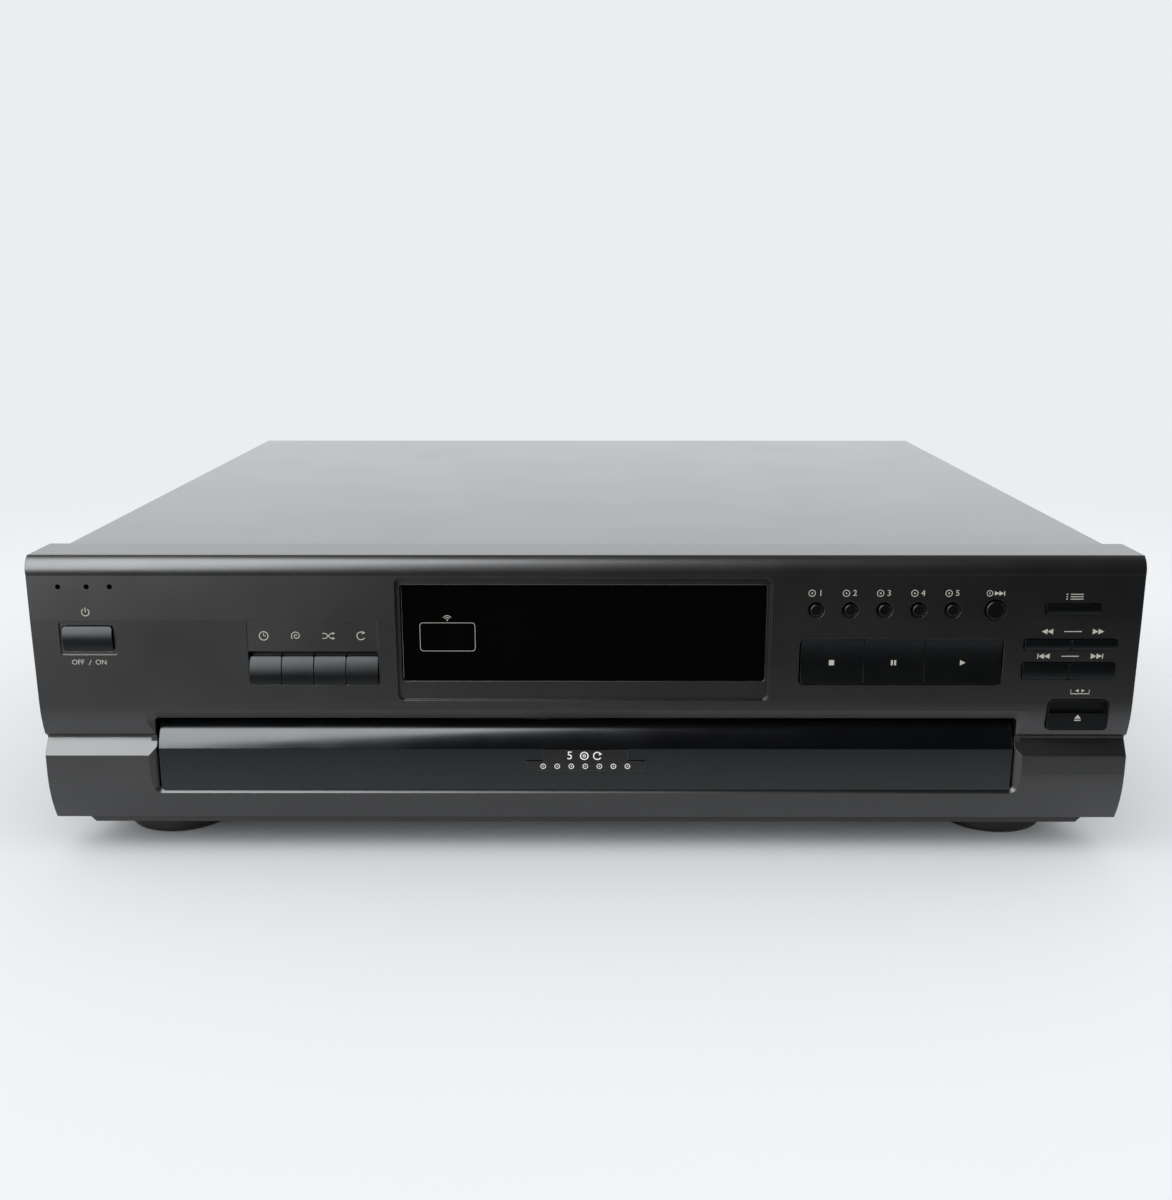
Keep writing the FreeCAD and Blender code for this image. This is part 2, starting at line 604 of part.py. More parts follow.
def wall_y(z):
    """Depth of the back of the upper fascia's wall at height z."""
    if z >= LEAN_END:
        return face_y(z) + PANEL_WALL
    slope = (UNDERCUT_BACK - LEAN_BACK) / (LEAN_END - UNDERCUT_Z - 1.0)
    return LEAN_BACK + PANEL_WALL + slope * (LEAN_END - z)


def panel_outline(x):
    """Closed outline of the panel's end, at the place x."""
    def at(y, z):
        return V(x, y, z)

    round_mid = at(TOP_ROUND_BACK * 0.2, PANEL_TOP - TOP_ROUND_DROP * 0.36)
    under_mid_z = (LEAN_END + UNDERCUT_Z) / 2
    skirt_mid = at(SKIRT_MID[0], SKIRT_MID[1])
    top_front = at(TOP_ROUND_BACK, PANEL_TOP)
    round_end = at(0, PANEL_TOP - TOP_ROUND_DROP)
    lean_start = at(0, LEAN_START)
    lean_end = at(LEAN_BACK, LEAN_END)
    undercut = at(UNDERCUT_BACK, UNDERCUT_Z)
    skirt_start = at(LEDGE_BACK, SKIRT_Z)
    skirt_end = at(SKIRT_BACK, PANEL_BOTTOM)
    groove_top, groove_bottom = at(STEP_BACK, STEP_TOP), at(STEP_BACK, STEP_BOTTOM)
    corners = [skirt_end, at(PANEL_DEPTH, PANEL_BOTTOM), at(PANEL_DEPTH, PANEL_TOP), top_front]
    step = [undercut, groove_top, groove_bottom, at(LEDGE_BACK, LEDGE_Z), skirt_start]
    edges = [Part.LineSegment(a, b).toShape() for a, b in zip(corners, corners[1:])]
    edges += [Part.LineSegment(a, b).toShape() for a, b in zip(step, step[1:])]
    edges.append(Part.Arc(top_front, round_mid, round_end).toShape())
    edges.append(Part.LineSegment(round_end, lean_start).toShape())
    edges.append(Part.LineSegment(lean_start, lean_end).toShape())
    edges.append(Part.Arc(lean_end, at(face_y(under_mid_z), under_mid_z), undercut).toShape())
    edges.append(Part.Arc(skirt_start, skirt_mid, skirt_end).toShape())
    return Part.Wire(Part.__sortEdges__(edges))


def panel_cavity():
    """Space behind the fascia: its front follows the face one wall further back."""
    wall = PANEL_WALL
    points = [
        (wall, PANEL_TOP - TOP_ROUND_DROP),
        (wall, LEAN_START),
        (LEAN_BACK + wall, LEAN_END),
        (UNDERCUT_BACK + wall, UNDERCUT_Z + 1.0),
        (STEP_BACK + wall, STEP_TOP + 1.0),
        (STEP_BACK + wall, STEP_BOTTOM - 1.0),
        (LEDGE_BACK + wall, LEDGE_Z - 1.0),
        (LEDGE_BACK + wall, SKIRT_Z),
        (SKIRT_MID[0] + wall, SKIRT_MID[1]),
        (SKIRT_BACK + wall, PANEL_BOTTOM + wall),
        (PANEL_DEPTH + 1.0, PANEL_BOTTOM + wall),
        (PANEL_DEPTH + 1.0, PANEL_TOP - wall),
        (TOP_ROUND_BACK + wall, PANEL_TOP - wall),
    ]
    inside = PANEL_HALF - wall
    return side_prism(points, -inside, inside)


def display_edges(y, inset=0.0):
    """Edges of the display recess, drawn in by inset."""
    half = DISPLAY_WIDTH / 2 - inset
    return (DISPLAY_X - half, DISPLAY_X + half, DISPLAY_BOTTOM + inset, DISPLAY_TOP - inset, y, DISPLAY_ROUND)


def window_edges(y, grow=0.0):
    half = WINDOW_WIDTH / 2 + grow
    return (DISPLAY_X - half, DISPLAY_X + half, WINDOW_BOTTOM - grow, WINDOW_TOP + grow, y, WINDOW_ROUND)


def opening_edges(y, grow=0.0):
    half = OPENING_HALF + grow
    return (-half, half, OPENING_BOTTOM - grow, OPENING_TOP + grow, y, OPENING_ROUND + grow)


def bezel_edges(y):
    half = OPENING_HALF + BEZEL_FLARE
    return (-half, half, OPENING_BOTTOM - BEZEL_DROP, OPENING_TOP + BEZEL_DROP, y, BEZEL_ROUND)


def boss_places():
    """Middles of the bosses that carry the front board, as X and Z."""
    left = BOSS_END - FRONT_BOARD_HALF
    right = PANEL_HALF - PANEL_WALL - BOSS_R
    upper = [(x, FRONT_BOARD_TOP - BOSS_EDGE) for x in (left, *BOSS_TOP_X, right)]
    lower = [(x, FRONT_BOARD_BOTTOM + BOSS_EDGE) for x in (left, *BOSS_LOW_X)]
    return upper + lower


def front_panel():
    solid = Part.Face(panel_outline(-PANEL_HALF)).extrude(V(2 * PANEL_HALF, 0, 0))
    solid = cut(solid, [panel_cavity()])
    frame = []
    for rim in (display_edges(LEAN_BACK), window_edges(LEAN_BACK, WINDOW_SEAT)):
        frame.append(Part.Face(rounded_wire(*rim)).extrude(V(0, DISPLAY_DEPTH - LEAN_BACK, 0)))
    x0, x1, z0, z1, _, r = opening_edges(0, COLLAR_WALL)
    collar = rounded_plate(x0, x1, z0, z1, COLLAR_FRONT, COLLAR_BACK, r)
    bosses = [rod(x, z, PANEL_WALL - 0.5, FRONT_BOARD_Y, BOSS_R) for x, z in boss_places()]
    solid = joined(solid, frame + [collar] + bosses)
    x0, x1, z0, z1, _, r = window_edges(0)
    holes = [rounded_plate(x0, x1, z0, z1, 0, DISPLAY_DEPTH + 1, r)]
    holes.append(funnel(display_edges(-0.2), display_edges(DISPLAY_STEP, DISPLAY_DRAFT)))
    holes.append(funnel(bezel_edges(LEDGE_BACK - BEZEL_LEAD), opening_edges(BEZEL_DEPTH)))
    x0, x1, z0, z1, _, r = opening_edges(0)
    holes.append(rounded_plate(x0, x1, z0, z1, -1, COLLAR_BACK + 1, r))
    for spec in KEYS:
        holes += key_holes(spec)
    holes += shared_apertures()
    return cut(solid, holes).removeSplitter()


def display_window():
    x0, x1, z0, z1, _, r = window_edges(0, WINDOW_SEAT - BODY_GAP)
    return rounded_plate(x0, x1, z0, z1, DISPLAY_DEPTH, DISPLAY_DEPTH + WINDOW_THICK, r)


# ---- Buttons -------------------------------------------------------------------------------
def bar(name, x, z, width, height, crown, corner):
    """A rectangular button. crown holds how far its lower edge, middle and upper edge stand out."""
    return {"name": name, "x": x, "z": z, "w": width, "h": height, "crown": crown, "round": corner}


def knob(name, x, z, r, ring):
    """A round button in a sunk ring."""
    return {"name": name, "x": x, "z": z, "r": r, "ring": ring}


def button_list():
    bowed = (0.5, 0.8, 0.5)
    keys = [bar("power_button", POWER_X, POWER_Z, POWER_WIDTH, POWER_HEIGHT, (0.2, KEY_PROUD, 0.0), 1.2)]
    mode_z = (MODE_BOTTOM + MODE_TOP) / 2
    for i in range(MODE_COUNT):
        x = MODE_X + (i - (MODE_COUNT - 1) / 2) * MODE_PITCH
        width, height = MODE_PITCH - KEY_GAP, MODE_TOP - MODE_BOTTOM
        keys.append(bar("mode_button_%d" % (i + 1), x, mode_z, width, height, (0.7, 0.9, -1.4), 0.6))
    for i in range(DISC_COUNT):
        x = DISC_KEY_X + (i - (DISC_COUNT - 1) / 2) * DISC_KEY_PITCH
        keys.append(knob("disc_button_%d" % (i + 1), x, DISC_KEY_Z, DISC_KEY_R, DISC_KEY_RING))
    keys.append(knob("disc_skip_button", DISC_SKIP_X, DISC_KEY_Z, DISC_SKIP_R, DISC_SKIP_RING))
    left = PLAYBACK_LEFT
    middle = (PLAYBACK_BOTTOM + PLAYBACK_TOP) / 2
    for name, width in zip(("stop_button", "pause_button", "play_button"), PLAYBACK_WIDTHS):
        height = PLAYBACK_TOP - PLAYBACK_BOTTOM
        keys.append(bar(name, left + width / 2, middle, width - KEY_GAP, height, (0.6, -0.7, 0.1), 0.5))
        left += width
    keys.append(bar("program_button", PROGRAM_X, PROGRAM_Z, PROGRAM_WIDTH, PROGRAM_HEIGHT, bowed, BAR_ROUND))
    pairs = (("search", SEARCH_Z, SEARCH_HEIGHT), ("skip", SKIP_Z, SKIP_HEIGHT))
    for word, z, height in pairs:
        for side, way in ((-1, "back"), (1, "forward")):
            x = PAIR_X + side * (PAIR_WIDTH + KEY_GAP) / 2
            keys.append(bar("%s_%s_button" % (word, way), x, z, PAIR_WIDTH, height, bowed, BAR_ROUND))
    open_z, open_height = (OPEN_BOTTOM + OPEN_TOP) / 2, OPEN_TOP - OPEN_BOTTOM
    keys.append(bar("open_close_button", OPEN_X, open_z, OPEN_WIDTH, open_height, (0.4, 0.4, 0.4), OPEN_ROUND))
    return keys


def key_back(spec):
    """Depth at which the flange of a button starts, just behind the panel's wall."""
    half = spec["r"] if "r" in spec else spec["h"] / 2
    return wall_y(spec["z"] - half - KEY_GAP - KEY_LIP) + BODY_GAP


def key_end():
    """Depth of the end of every button's stem at rest."""
    return FRONT_BOARD_Y - SWITCH_HEIGHT - SWITCH_PLAY - KEY_TRAVEL


def key_extent(spec, grow=0.0):
    return (spec["x"] - spec["w"] / 2 - grow, spec["x"] + spec["w"] / 2 + grow,
            spec["z"] - spec["h"] / 2 - grow, spec["z"] + spec["h"] / 2 + grow)


def key_holes(spec):
    """Holes through the panel for one button."""
    far = PANEL_WALL + STEP_BACK
    if "r" in spec:
        through = rod(spec["x"], spec["z"], -1, far, spec["r"] + KEY_GAP)
        ring = rod(spec["x"], spec["z"], -1, face_y(spec["z"]) + RING_DEPTH, spec["r"] + spec["ring"])
        return [through, ring]
    return [rounded_plate(*key_extent(spec, KEY_GAP), -1, far, spec["round"] + KEY_GAP)]


def shared_apertures():
    """Openings and shallow recesses that several buttons share, and the frame round the power button."""
    far = PANEL_WALL + STEP_BACK
    half = MODE_COUNT * MODE_PITCH / 2 + KEY_GAP / 2
    x0, x1 = MODE_X - half, MODE_X + half
    mode_slot = rounded_plate(x0, x1, MODE_BOTTOM - KEY_GAP, MODE_SLOT_TOP, -1, far, MODE_ROUND)
    label_y = face_y(MODE_LABEL_TOP) + MODE_LABEL_DEPTH
    label = box(x0, x1, -1, label_y, MODE_SLOT_TOP - 1, MODE_LABEL_TOP)
    right = PLAYBACK_LEFT + sum(PLAYBACK_WIDTHS)
    x0, x1 = PLAYBACK_LEFT - 2 * KEY_GAP, right + KEY_GAP
    z0, z1 = PLAYBACK_BOTTOM - 2 * KEY_GAP, PLAYBACK_TOP + KEY_GAP
    bank = rounded_plate(x0, x1, z0, z1, -1, far, PLAYBACK_ROUND)
    wide, high = POWER_FRAME_WIDTH / 2, POWER_FRAME_HEIGHT / 2
    frame_y = face_y(POWER_Z) + POWER_FRAME_DEPTH
    frame = rounded_plate(POWER_X - wide, POWER_X + wide, POWER_Z - high, POWER_Z + high, -1, frame_y, 0.8)
    pair_holes = []
    for z, height in ((SEARCH_Z, SEARCH_HEIGHT), (SKIP_Z, SKIP_HEIGHT)):
        half = height / 2 + KEY_GAP
        pair_holes.append(box(PAIR_X - 2, PAIR_X + 2, -1, far, z - half, z + half))
    return [mode_slot, label, bank, frame] + pair_holes


def crowned_cap(spec, y1):
    """Block whose front bows between its lower and upper edges."""
    x0, x1, z0, z1 = key_extent(spec)
    low, mid, high = [face_y(spec["z"]) - out for out in spec["crown"]]
    if abs(low - mid) + abs(high - mid) < 0.01:
        front = Part.LineSegment(V(x0, low, z0), V(x0, high, z1)).toShape()
    else:
        front = Part.Arc(V(x0, low, z0), V(x0, mid, spec["z"]), V(x0, high, z1)).toShape()
    rest = [V(x0, high, z1), V(x0, y1, z1), V(x0, y1, z0), V(x0, low, z0)]
    edges = [front] + [Part.LineSegment(a, b).toShape() for a, b in zip(rest, rest[1:])]
    block = Part.Face(Part.Wire(Part.__sortEdges__(edges))).extrude(V(x1 - x0, 0, 0))
    return block.common(rounded_plate(x0, x1, z0, z1, -5, y1 + 1, spec["round"]))


def finger_scoop(spec):
    """Hollow across the upper part of the open and close button."""
    x0, x1, _, z1 = key_extent(spec)
    y = face_y(spec["z"]) + OPEN_SCOOP
    front = y - OPEN_SCOOP - 2
    points = [(front, OPEN_SCOOP_Z - 0.6), (y, OPEN_SCOOP_Z), (y, z1 - 1.0), (front, z1 - 0.6)]
    return side_prism(points, x0 + 0.5, x1 - 0.5)


def button(spec):
    back = key_back(spec)
    if "r" in spec:
        x, z, r = spec["x"], spec["z"], spec["r"]
        cap = rod(x, z, face_y(z) - KEY_PROUD * 0.8, back + KEY_FLANGE, r)
        rim = [edge for edge in cap.Edges if edge.BoundBox.YMax < face_y(z)]
        cap = cap.makeFillet(0.7, rim)
        flange = rod(x, z, back, back + KEY_FLANGE, r + KEY_GAP + KEY_LIP)
    else:
        cap = crowned_cap(spec, back + KEY_FLANGE)
        if spec["name"] == "open_close_button":
            cap = cut(cap, [finger_scoop(spec)])
        x0, x1, z0, z1 = key_extent(spec)
        reach = KEY_GAP + KEY_LIP
        upper = reach + (MODE_SLOT_TOP - MODE_TOP if spec["name"].startswith("mode") else 0)
        flange = box(x0, x1, back, back + KEY_FLANGE, z0 - reach, z1 + upper)
    half = KEY_STEM_HALF
    stem = box(spec["x"] - half, spec["x"] + half, back, key_end(), spec["z"] - half, spec["z"] + half)
    return joined(cap, [flange, stem])


KEYS = button_list()


# ---- Case ----------------------------------------------------------------------------------
def screw(x, y, z, direction):
    """Pan-head screw whose head's flat side is at the given place; direction points out of the head."""
    head = Part.makeCylinder(SCREW_HEAD_R, SCREW_HEAD, V(x, y, z), direction)
    shank = Part.makeCylinder(SCREW_R, SCREW_LENGTH, V(x, y, z), direction.negative())
    return joined(head, [shank])


def side_screws():
    """Places of the screws through the cover's sides, as (x, y, z, direction)."""
    return [(s * COVER_HALF, y, SIDE_SCREW_Z, V(s, 0, 0)) for s in (-1, 1) for y in SIDE_SCREW_Y]


def rear_screws():
    z = COVER_TOP - REAR_SCREW_DROP
    return [(x, REAR_BACK, z, V(0, 1, 0)) for x in REAR_SCREW_X]


def screw_hole(x, y, z, direction):
    start = V(x, y, z) + direction
    return Part.makeCylinder(SCREW_R, SCREW_LENGTH + 1.0, start, direction.negative())


def top_cover():
    half = COVER_HALF
    front = PANEL_DEPTH - COVER_TUCK
    sheet = COVER_SHEET
    low = PANEL_TOP - PANEL_WALL - BODY_GAP
    outer = box(-half, half, PANEL_DEPTH, COVER_BACK, COVER_BOTTOM, COVER_TOP)
    inner = box(-half + sheet, half - sheet, 0, COVER_BACK + 1, 0, COVER_TOP - sheet)
    top_edges = [e for e in outer.Edges if e.BoundBox.ZMin > COVER_TOP - 0.1 and e.BoundBox.YLength > 10]
    outer = outer.makeFillet(sheet, top_edges)
    shell = outer.cut(inner)
    inside, step = half - sheet, PANEL_DEPTH + COVER_STEP
    tongue = box(-inside, inside, front, step, low - sheet, low)
    riser = box(-inside, inside, step - sheet, step, low - sheet, COVER_TOP - sheet)
    shell = joined(shell, [tongue, riser] + cover_lugs())
    return cut(shell, [screw_hole(*place) for place in side_screws() + rear_screws()])


def bottom_chassis():
    """Folded sheet: floor, side and front flanges, and the front strip under the panel."""
    half = BASE_HALF
    front = PANEL_DEPTH + 2.0
    floor = box(-half, half, front, REAR_FRONT, BASE_BOTTOM, BASE_TOP)
    strip = box(-BASE_FRONT_HALF, BASE_FRONT_HALF, BASE_FRONT, front, BASE_BOTTOM, PANEL_BOTTOM)
    hollow = box(-BASE_FRONT_HALF + 6, BASE_FRONT_HALF - 6, BASE_FRONT + 3, front, BASE_TOP, PANEL_BOTTOM + 1)
    corners = [e for e in strip.Edges if e.BoundBox.ZLength < 0.1 and e.BoundBox.ZMax < BASE_BOTTOM + 0.1
               and e.BoundBox.YLength > 5]
    strip = strip.makeChamfer((PANEL_BOTTOM - BASE_BOTTOM) * 0.9, corners).cut(hollow)
    sides = [box(s * half - (BASE_SHEET if s > 0 else 0), s * half + (0 if s > 0 else BASE_SHEET),
                 front, REAR_FRONT, BASE_BOTTOM, BASE_TOP + BASE_FLANGE) for s in (-1, 1)]
    back = box(-half, half, REAR_FRONT - BASE_SHEET, REAR_FRONT, BASE_BOTTOM, BASE_TOP + BASE_FLANGE)
    solid = joined(floor, [strip, back] + sides)
    holes = [screw_hole(*place) for place in side_screws()]
    holes += [post(x, y, BASE_BOTTOM - 1, BASE_TOP + 1, SCREW_R) for x, y in foot_places()]
    return cut(solid, holes)


def foot_places():
    return [(x, y) for x in (-FOOT_X, FOOT_X) for y in (FOOT_FRONT_Y, FOOT_REAR_Y)]


def foot(x, y):
    body = cone(x, y, 0, BASE_BOTTOM, FOOT_R - FOOT_TAPER, FOOT_R)
    rim = [e for e in body.Edges if e.BoundBox.ZMax < 0.1]
    body = body.makeFillet(2.5, rim)
    recess = post(x, y, -1, BASE_BOTTOM - 4.0, FOOT_RECESS_R)
    pin = post(x, y, BASE_BOTTOM, BASE_TOP, SCREW_R)
    return joined(body.cut(recess), [pin])


def feet():
    return Part.makeCompound([foot(x, y) for x, y in foot_places()])


def rear_panel():
    half = COVER_INNER - BODY_GAP
    sheet = box(-half, half, REAR_FRONT, REAR_BACK, BASE_BOTTOM, COVER_TOP - COVER_SHEET)
    holes = [screw_hole(*place) for place in rear_screws()]
    y0, y1 = REAR_FRONT - 1, REAR_BACK + 1
    for i in range(VENT_COUNT):
        x = VENT_X + i * VENT_PITCH
        holes.append(rounded_plate(x, x + VENT_WIDTH, VENT_Z, VENT_Z + VENT_HEIGHT, y0, y1, VENT_ROUND))
    holes += [rod(x, JACK_Z, y0, y1, JACK_SHOULDER_R + BODY_GAP) for x in jack_places()]
    wide, high = INLET_WIDTH / 2 + INLET_WALL, INLET_HEIGHT / 2 + INLET_WALL
    holes.append(box(INLET_X - wide, INLET_X + wide, y0, y1, INLET_Z - high, INLET_Z + high))
    return cut(sheet, holes)


def cover_lugs():
    """Blocks folded down from the cover that the rear screws bite into."""
    z0 = COVER_TOP - REAR_SCREW_DROP - LUG_BELOW
    z1 = COVER_TOP - COVER_SHEET
    y0 = REAR_FRONT - SCREW_LENGTH - LUG_SPARE
    return [box(x - LUG_HALF, x + LUG_HALF, y0, REAR_FRONT, z0, z1) for x in REAR_SCREW_X]


def case_screws():
    return Part.makeCompound([screw(*place) for place in side_screws() + rear_screws()])


# ---- Drawer --------------------------------------------------------------------------------
def drawer_front():
    """Bar across the opening, flat below and rolled back above its shoulder."""
    x = -DRAWER_HALF
    low = V(x, DRAWER_FACE, DRAWER_BOTTOM)
    shoulder = V(x, DRAWER_FACE, DRAWER_SHOULDER_Z)
    top = V(x, DRAWER_TOP_BACK, DRAWER_TOP)
    rest = [top, V(x, DRAWER_BACK, DRAWER_TOP), V(x, DRAWER_BACK, DRAWER_BOTTOM), low, shoulder]
    edges = [Part.LineSegment(a, b).toShape() for a, b in zip(rest, rest[1:])]
    edges.append(Part.Arc(shoulder, V(x, DRAWER_SHOULDER_MID[0], DRAWER_SHOULDER_MID[1]), top).toShape())
    return Part.Face(Part.Wire(Part.__sortEdges__(edges))).extrude(V(2 * DRAWER_HALF, 0, 0))


def drawer_badge():
    """Stepped plate glued on the flat of the drawer front, bare."""
    y0, y1 = DRAWER_FACE - BADGE_THICK, DRAWER_FACE
    lower = box(-BADGE_LOWER_WIDTH / 2, BADGE_LOWER_WIDTH / 2, y0, y1, BADGE_BOTTOM, BADGE_STEP)
    upper = box(-BADGE_UPPER_WIDTH / 2, BADGE_UPPER_WIDTH / 2, y0, y1, BADGE_STEP, BADGE_TOP)
    return joined(lower, [upper])


def drawer_tray():
    wide = FLOOR_HALF
    floor = box(-wide, wide, DRAWER_BACK, TRAY_BACK, FLOOR_BOTTOM, FLOOR_TOP)
    inner, outer, top = TRAY_WALL_INNER, TRAY_WALL_OUTER, TRAY_WALL_TOP
    sides = ((-outer, -inner), (inner, outer))
    walls = [box(x0, x1, DRAWER_BACK, TRAY_BACK, FLOOR_BOTTOM, top) for x0, x1 in sides]
    face = box(-outer, outer, DRAWER_BACK, DRAWER_BACK + TRAY_WALL, FLOOR_BOTTOM, top)
    track = post(0, CAROUSEL_Y, FLOOR_BOTTOM, CAROUSEL_BOTTOM - BODY_GAP, SUPPORT_R + SUPPORT_WIDTH)
    track = track.cut(post(0, CAROUSEL_Y, FLOOR_BOTTOM - 1, CAROUSEL_BOTTOM, SUPPORT_R))
    boss = post(0, CAROUSEL_Y, FLOOR_BOTTOM, CAROUSEL_BOTTOM - BODY_GAP, HUB_R)
    spindle = post(0, CAROUSEL_Y, FLOOR_BOTTOM, CAROUSEL_TOP + BODY_GAP, SPINDLE_R)
    tray = joined(floor, walls + [face, track, boss, spindle, tray_rack()])
    notch = box(-TRAY_NOTCH_HALF, TRAY_NOTCH_HALF, TRAY_NOTCH_FRONT, TRAY_BACK + 1, FLOOR_BOTTOM - 1, top)
    motor_hole = post(0, PINION_Y, FLOOR_BOTTOM - 1, TRAY_WALL_TOP, MOTOR_R)
    return cut(tray, [notch, motor_hole])


def tray_rack():
    """Rack under the tray that the loading gear drives."""
    start = LOADING_Y - RACK_MARGIN
    end = LOADING_Y + DRAWER_TRAVEL + RACK_MARGIN
    return rack(RACK_MODULE, RACK_X, start, end, RACK_BOTTOM, FLOOR_BOTTOM + 0.5, RACK_BACKING, LOADING_Y)


def pocket_angles():
    """Directions from the carousel's centre to its pockets. The first lies at the back."""
    return [90.0 + 360.0 * i / DISC_COUNT for i in range(DISC_COUNT)]


def carousel():
    """Turntable for five discs, with a slot in each pocket that the deck rises through."""
    y = CAROUSEL_Y
    plate = post(0, y, CAROUSEL_BOTTOM, CAROUSEL_TOP, CAROUSEL_R)
    hollow_top = POCKET_FLOOR - CAROUSEL_SHELL
    hollow = post(0, y, CAROUSEL_BOTTOM - 1, hollow_top, CAROUSEL_R - CAROUSEL_SHELL)
    hollow = hollow.cut(post(0, y, CAROUSEL_BOTTOM - 2, hollow_top + 1, HUB_R))
    cuts = [hollow, post(0, y, CAROUSEL_BOTTOM - 1, CAROUSEL_TOP + 1, SPINDLE_R + RUN_FIT)]
    middle = y + POCKET_RING_R
    small_floor = POCKET_FLOOR - SMALL_POCKET_DEPTH
    slot = box(-SLOT_HALF, SLOT_HALF, middle, y + CAROUSEL_R + 5, CAROUSEL_BOTTOM - 1, CAROUSEL_TOP + 1)
    slot = slot.fuse(post(0, middle, CAROUSEL_BOTTOM - 1, CAROUSEL_TOP + 1, SLOT_HALF))
    pocket = [post(0, middle, POCKET_FLOOR, CAROUSEL_TOP + 1, POCKET_R),
              post(0, middle, small_floor, CAROUSEL_TOP + 1, SMALL_POCKET_R), slot]
    for angle in pocket_angles():
        cuts += [turned(shape, angle - 90.0, y) for shape in pocket]
    return cut(plate, cuts).removeSplitter()


def carousel_cap():
    """Button on the end of the spindle that keeps the carousel on it."""
    z = CAROUSEL_TOP + BODY_GAP
    cap = post(0, CAROUSEL_Y, z, z + CAP_THICK, CAP_R)
    return cap.makeFillet(1.2, [e for e in cap.Edges if e.BoundBox.ZMin > z + CAP_THICK - 0.1])


def carousel_ring_gear():
    """Toothed ring hung under the carousel."""
    y = CAROUSEL_Y
    teeth = gear(RING_MODULE, RING_TEETH, RING_BOTTOM, RING_BOTTOM + RING_FACE, 0, y, -90.0)
    inner = RING_R - RING_WALL
    neck = post(0, y, RING_BOTTOM, POCKET_FLOOR - CAROUSEL_SHELL, RING_R - 2.5)
    ring = teeth.fuse(neck).cut(post(0, y, RING_BOTTOM - 1, CAROUSEL_TOP, inner))
    return ring.removeSplitter()


def carousel_motor():
    bottom = RACK_BOTTOM - 1.5
    can = post(0, PINION_Y, bottom, FLOOR_TOP + 1.0, MOTOR_R - RUN_FIT)
    flange = post(0, PINION_Y, FLOOR_TOP, FLOOR_TOP + 1.0, MOTOR_R + 3.0)
    shaft = post(0, PINION_Y, FLOOR_TOP, RING_BOTTOM + RING_FACE - 1.0, SHAFT_R)
    return joined(can, [flange, shaft])


def carousel_pinion():
    half_tooth = 180.0 / PINION_TEETH
    z0, z1 = RING_BOTTOM, RING_BOTTOM + RING_FACE - 0.5
    wheel = gear(RING_MODULE, PINION_TEETH, z0, z1, 0, PINION_Y, PINION_TO_RING + half_tooth)
    return wheel.cut(post(0, PINION_Y, RING_BOTTOM - 1, CAROUSEL_TOP, SHAFT_R + RUN_FIT))


# ---- Mechanism chassis and loading train ---------------------------------------------------
def mech_chassis():
    """Moulded frame with the drawer's rails, the deck's posts and the posts of the main board."""
    inner, outer = MECH_INNER, MECH_OUTER
    floor = box(-outer, outer, MECH_FRONT, MECH_BACK, MECH_FLOOR_BOTTOM, MECH_FLOOR_TOP)
    well = box(-WELL_HALF, WELL_HALF, WELL_FRONT, WELL_BACK, 0, MECH_TOP)
    floor = cut(floor, [well] + lightening_holes())
    added = []
    for s in (-1, 1):
        def across(a, b, y0, y1, z0, z1):
            return box(min(s * a, s * b), max(s * a, s * b), y0, y1, z0, z1)

        added.append(across(inner, outer, MECH_FRONT, MECH_BACK, MECH_FLOOR_BOTTOM, MECH_TOP))
        added.append(across(inner - RAIL_REACH, inner, MECH_FRONT, TRAY_BACK, RAIL_TOP - RAIL_THICK, RAIL_TOP))
        lip_bottom = FLOOR_TOP + BODY_GAP
        lip_inner = TRAY_WALL_OUTER + LIP_GAP
        added.append(across(lip_inner, inner, MECH_FRONT, TRAY_BACK, lip_bottom, lip_bottom + LIP_THICK))
    back_wall = box(-outer, outer, MECH_BACK - MECH_WALL, MECH_BACK, MECH_FLOOR_BOTTOM, DECK_POST_TOP)
    leg_top = MECH_FLOOR_BOTTOM + 0.5
    legs = []
    for y in (LEG_FRONT_Y, CAROUSEL_Y, MECH_BACK - LEG_REAR_INSET):
        legs += [post(x, y, BASE_TOP, leg_top, LEG_R) for x in (LEG_R - outer, outer - LEG_R)]
    deck_posts = [post(x, y, MECH_FLOOR_BOTTOM, DECK_POST_TOP, DECK_POST_R)
                  for x in (-DECK_POST_X, DECK_POST_X) for y in DECK_POST_Y]
    gear_posts = [post(x, LOADING_Y, MECH_FLOOR_BOTTOM, FLOOR_BOTTOM - GEAR_POST_DROP, POST_R)
                  for x in (LOADING_GEAR_X, BELT_PULLEY_X)]
    board_posts = [post(BOARD_POST_X, y, MECH_FLOOR_BOTTOM, MAIN_BOARD_Z, BOARD_POST_R) for y in BOARD_POST_Y]
    posts = legs + deck_posts + gear_posts + board_posts
    solid = joined(floor, added + [back_wall] + posts + slider_guides())
    panel_sill = box(-outer, outer, 0, PANEL_DEPTH + BODY_GAP, 0, PANEL_BOTTOM + PANEL_WALL + BODY_GAP)
    return solid.cut(panel_sill)


def lightening_holes():
    """Four windows in the chassis's floor, beside the loading train and beside the deck."""
    side = MECH_OUTER - LIGHT_SIDE
    front_end = SLIDER_Y - LIGHT_SLIDER_GAP
    rear_start, rear_end = WELL_FRONT, DECK_BACK - LIGHT_DECK_GAP
    return [box(-side, -LIGHT_LEFT_X, LIGHT_FRONT_Y, front_end, 0, MECH_TOP),
            box(LIGHT_RIGHT_X, side, LIGHT_TRAIN_Y, front_end, 0, MECH_TOP),
            box(-side, -LIGHT_REAR_X, rear_start, rear_end, 0, MECH_TOP),
            box(LIGHT_REAR_X, side, rear_start, rear_end, 0, MECH_TOP)]


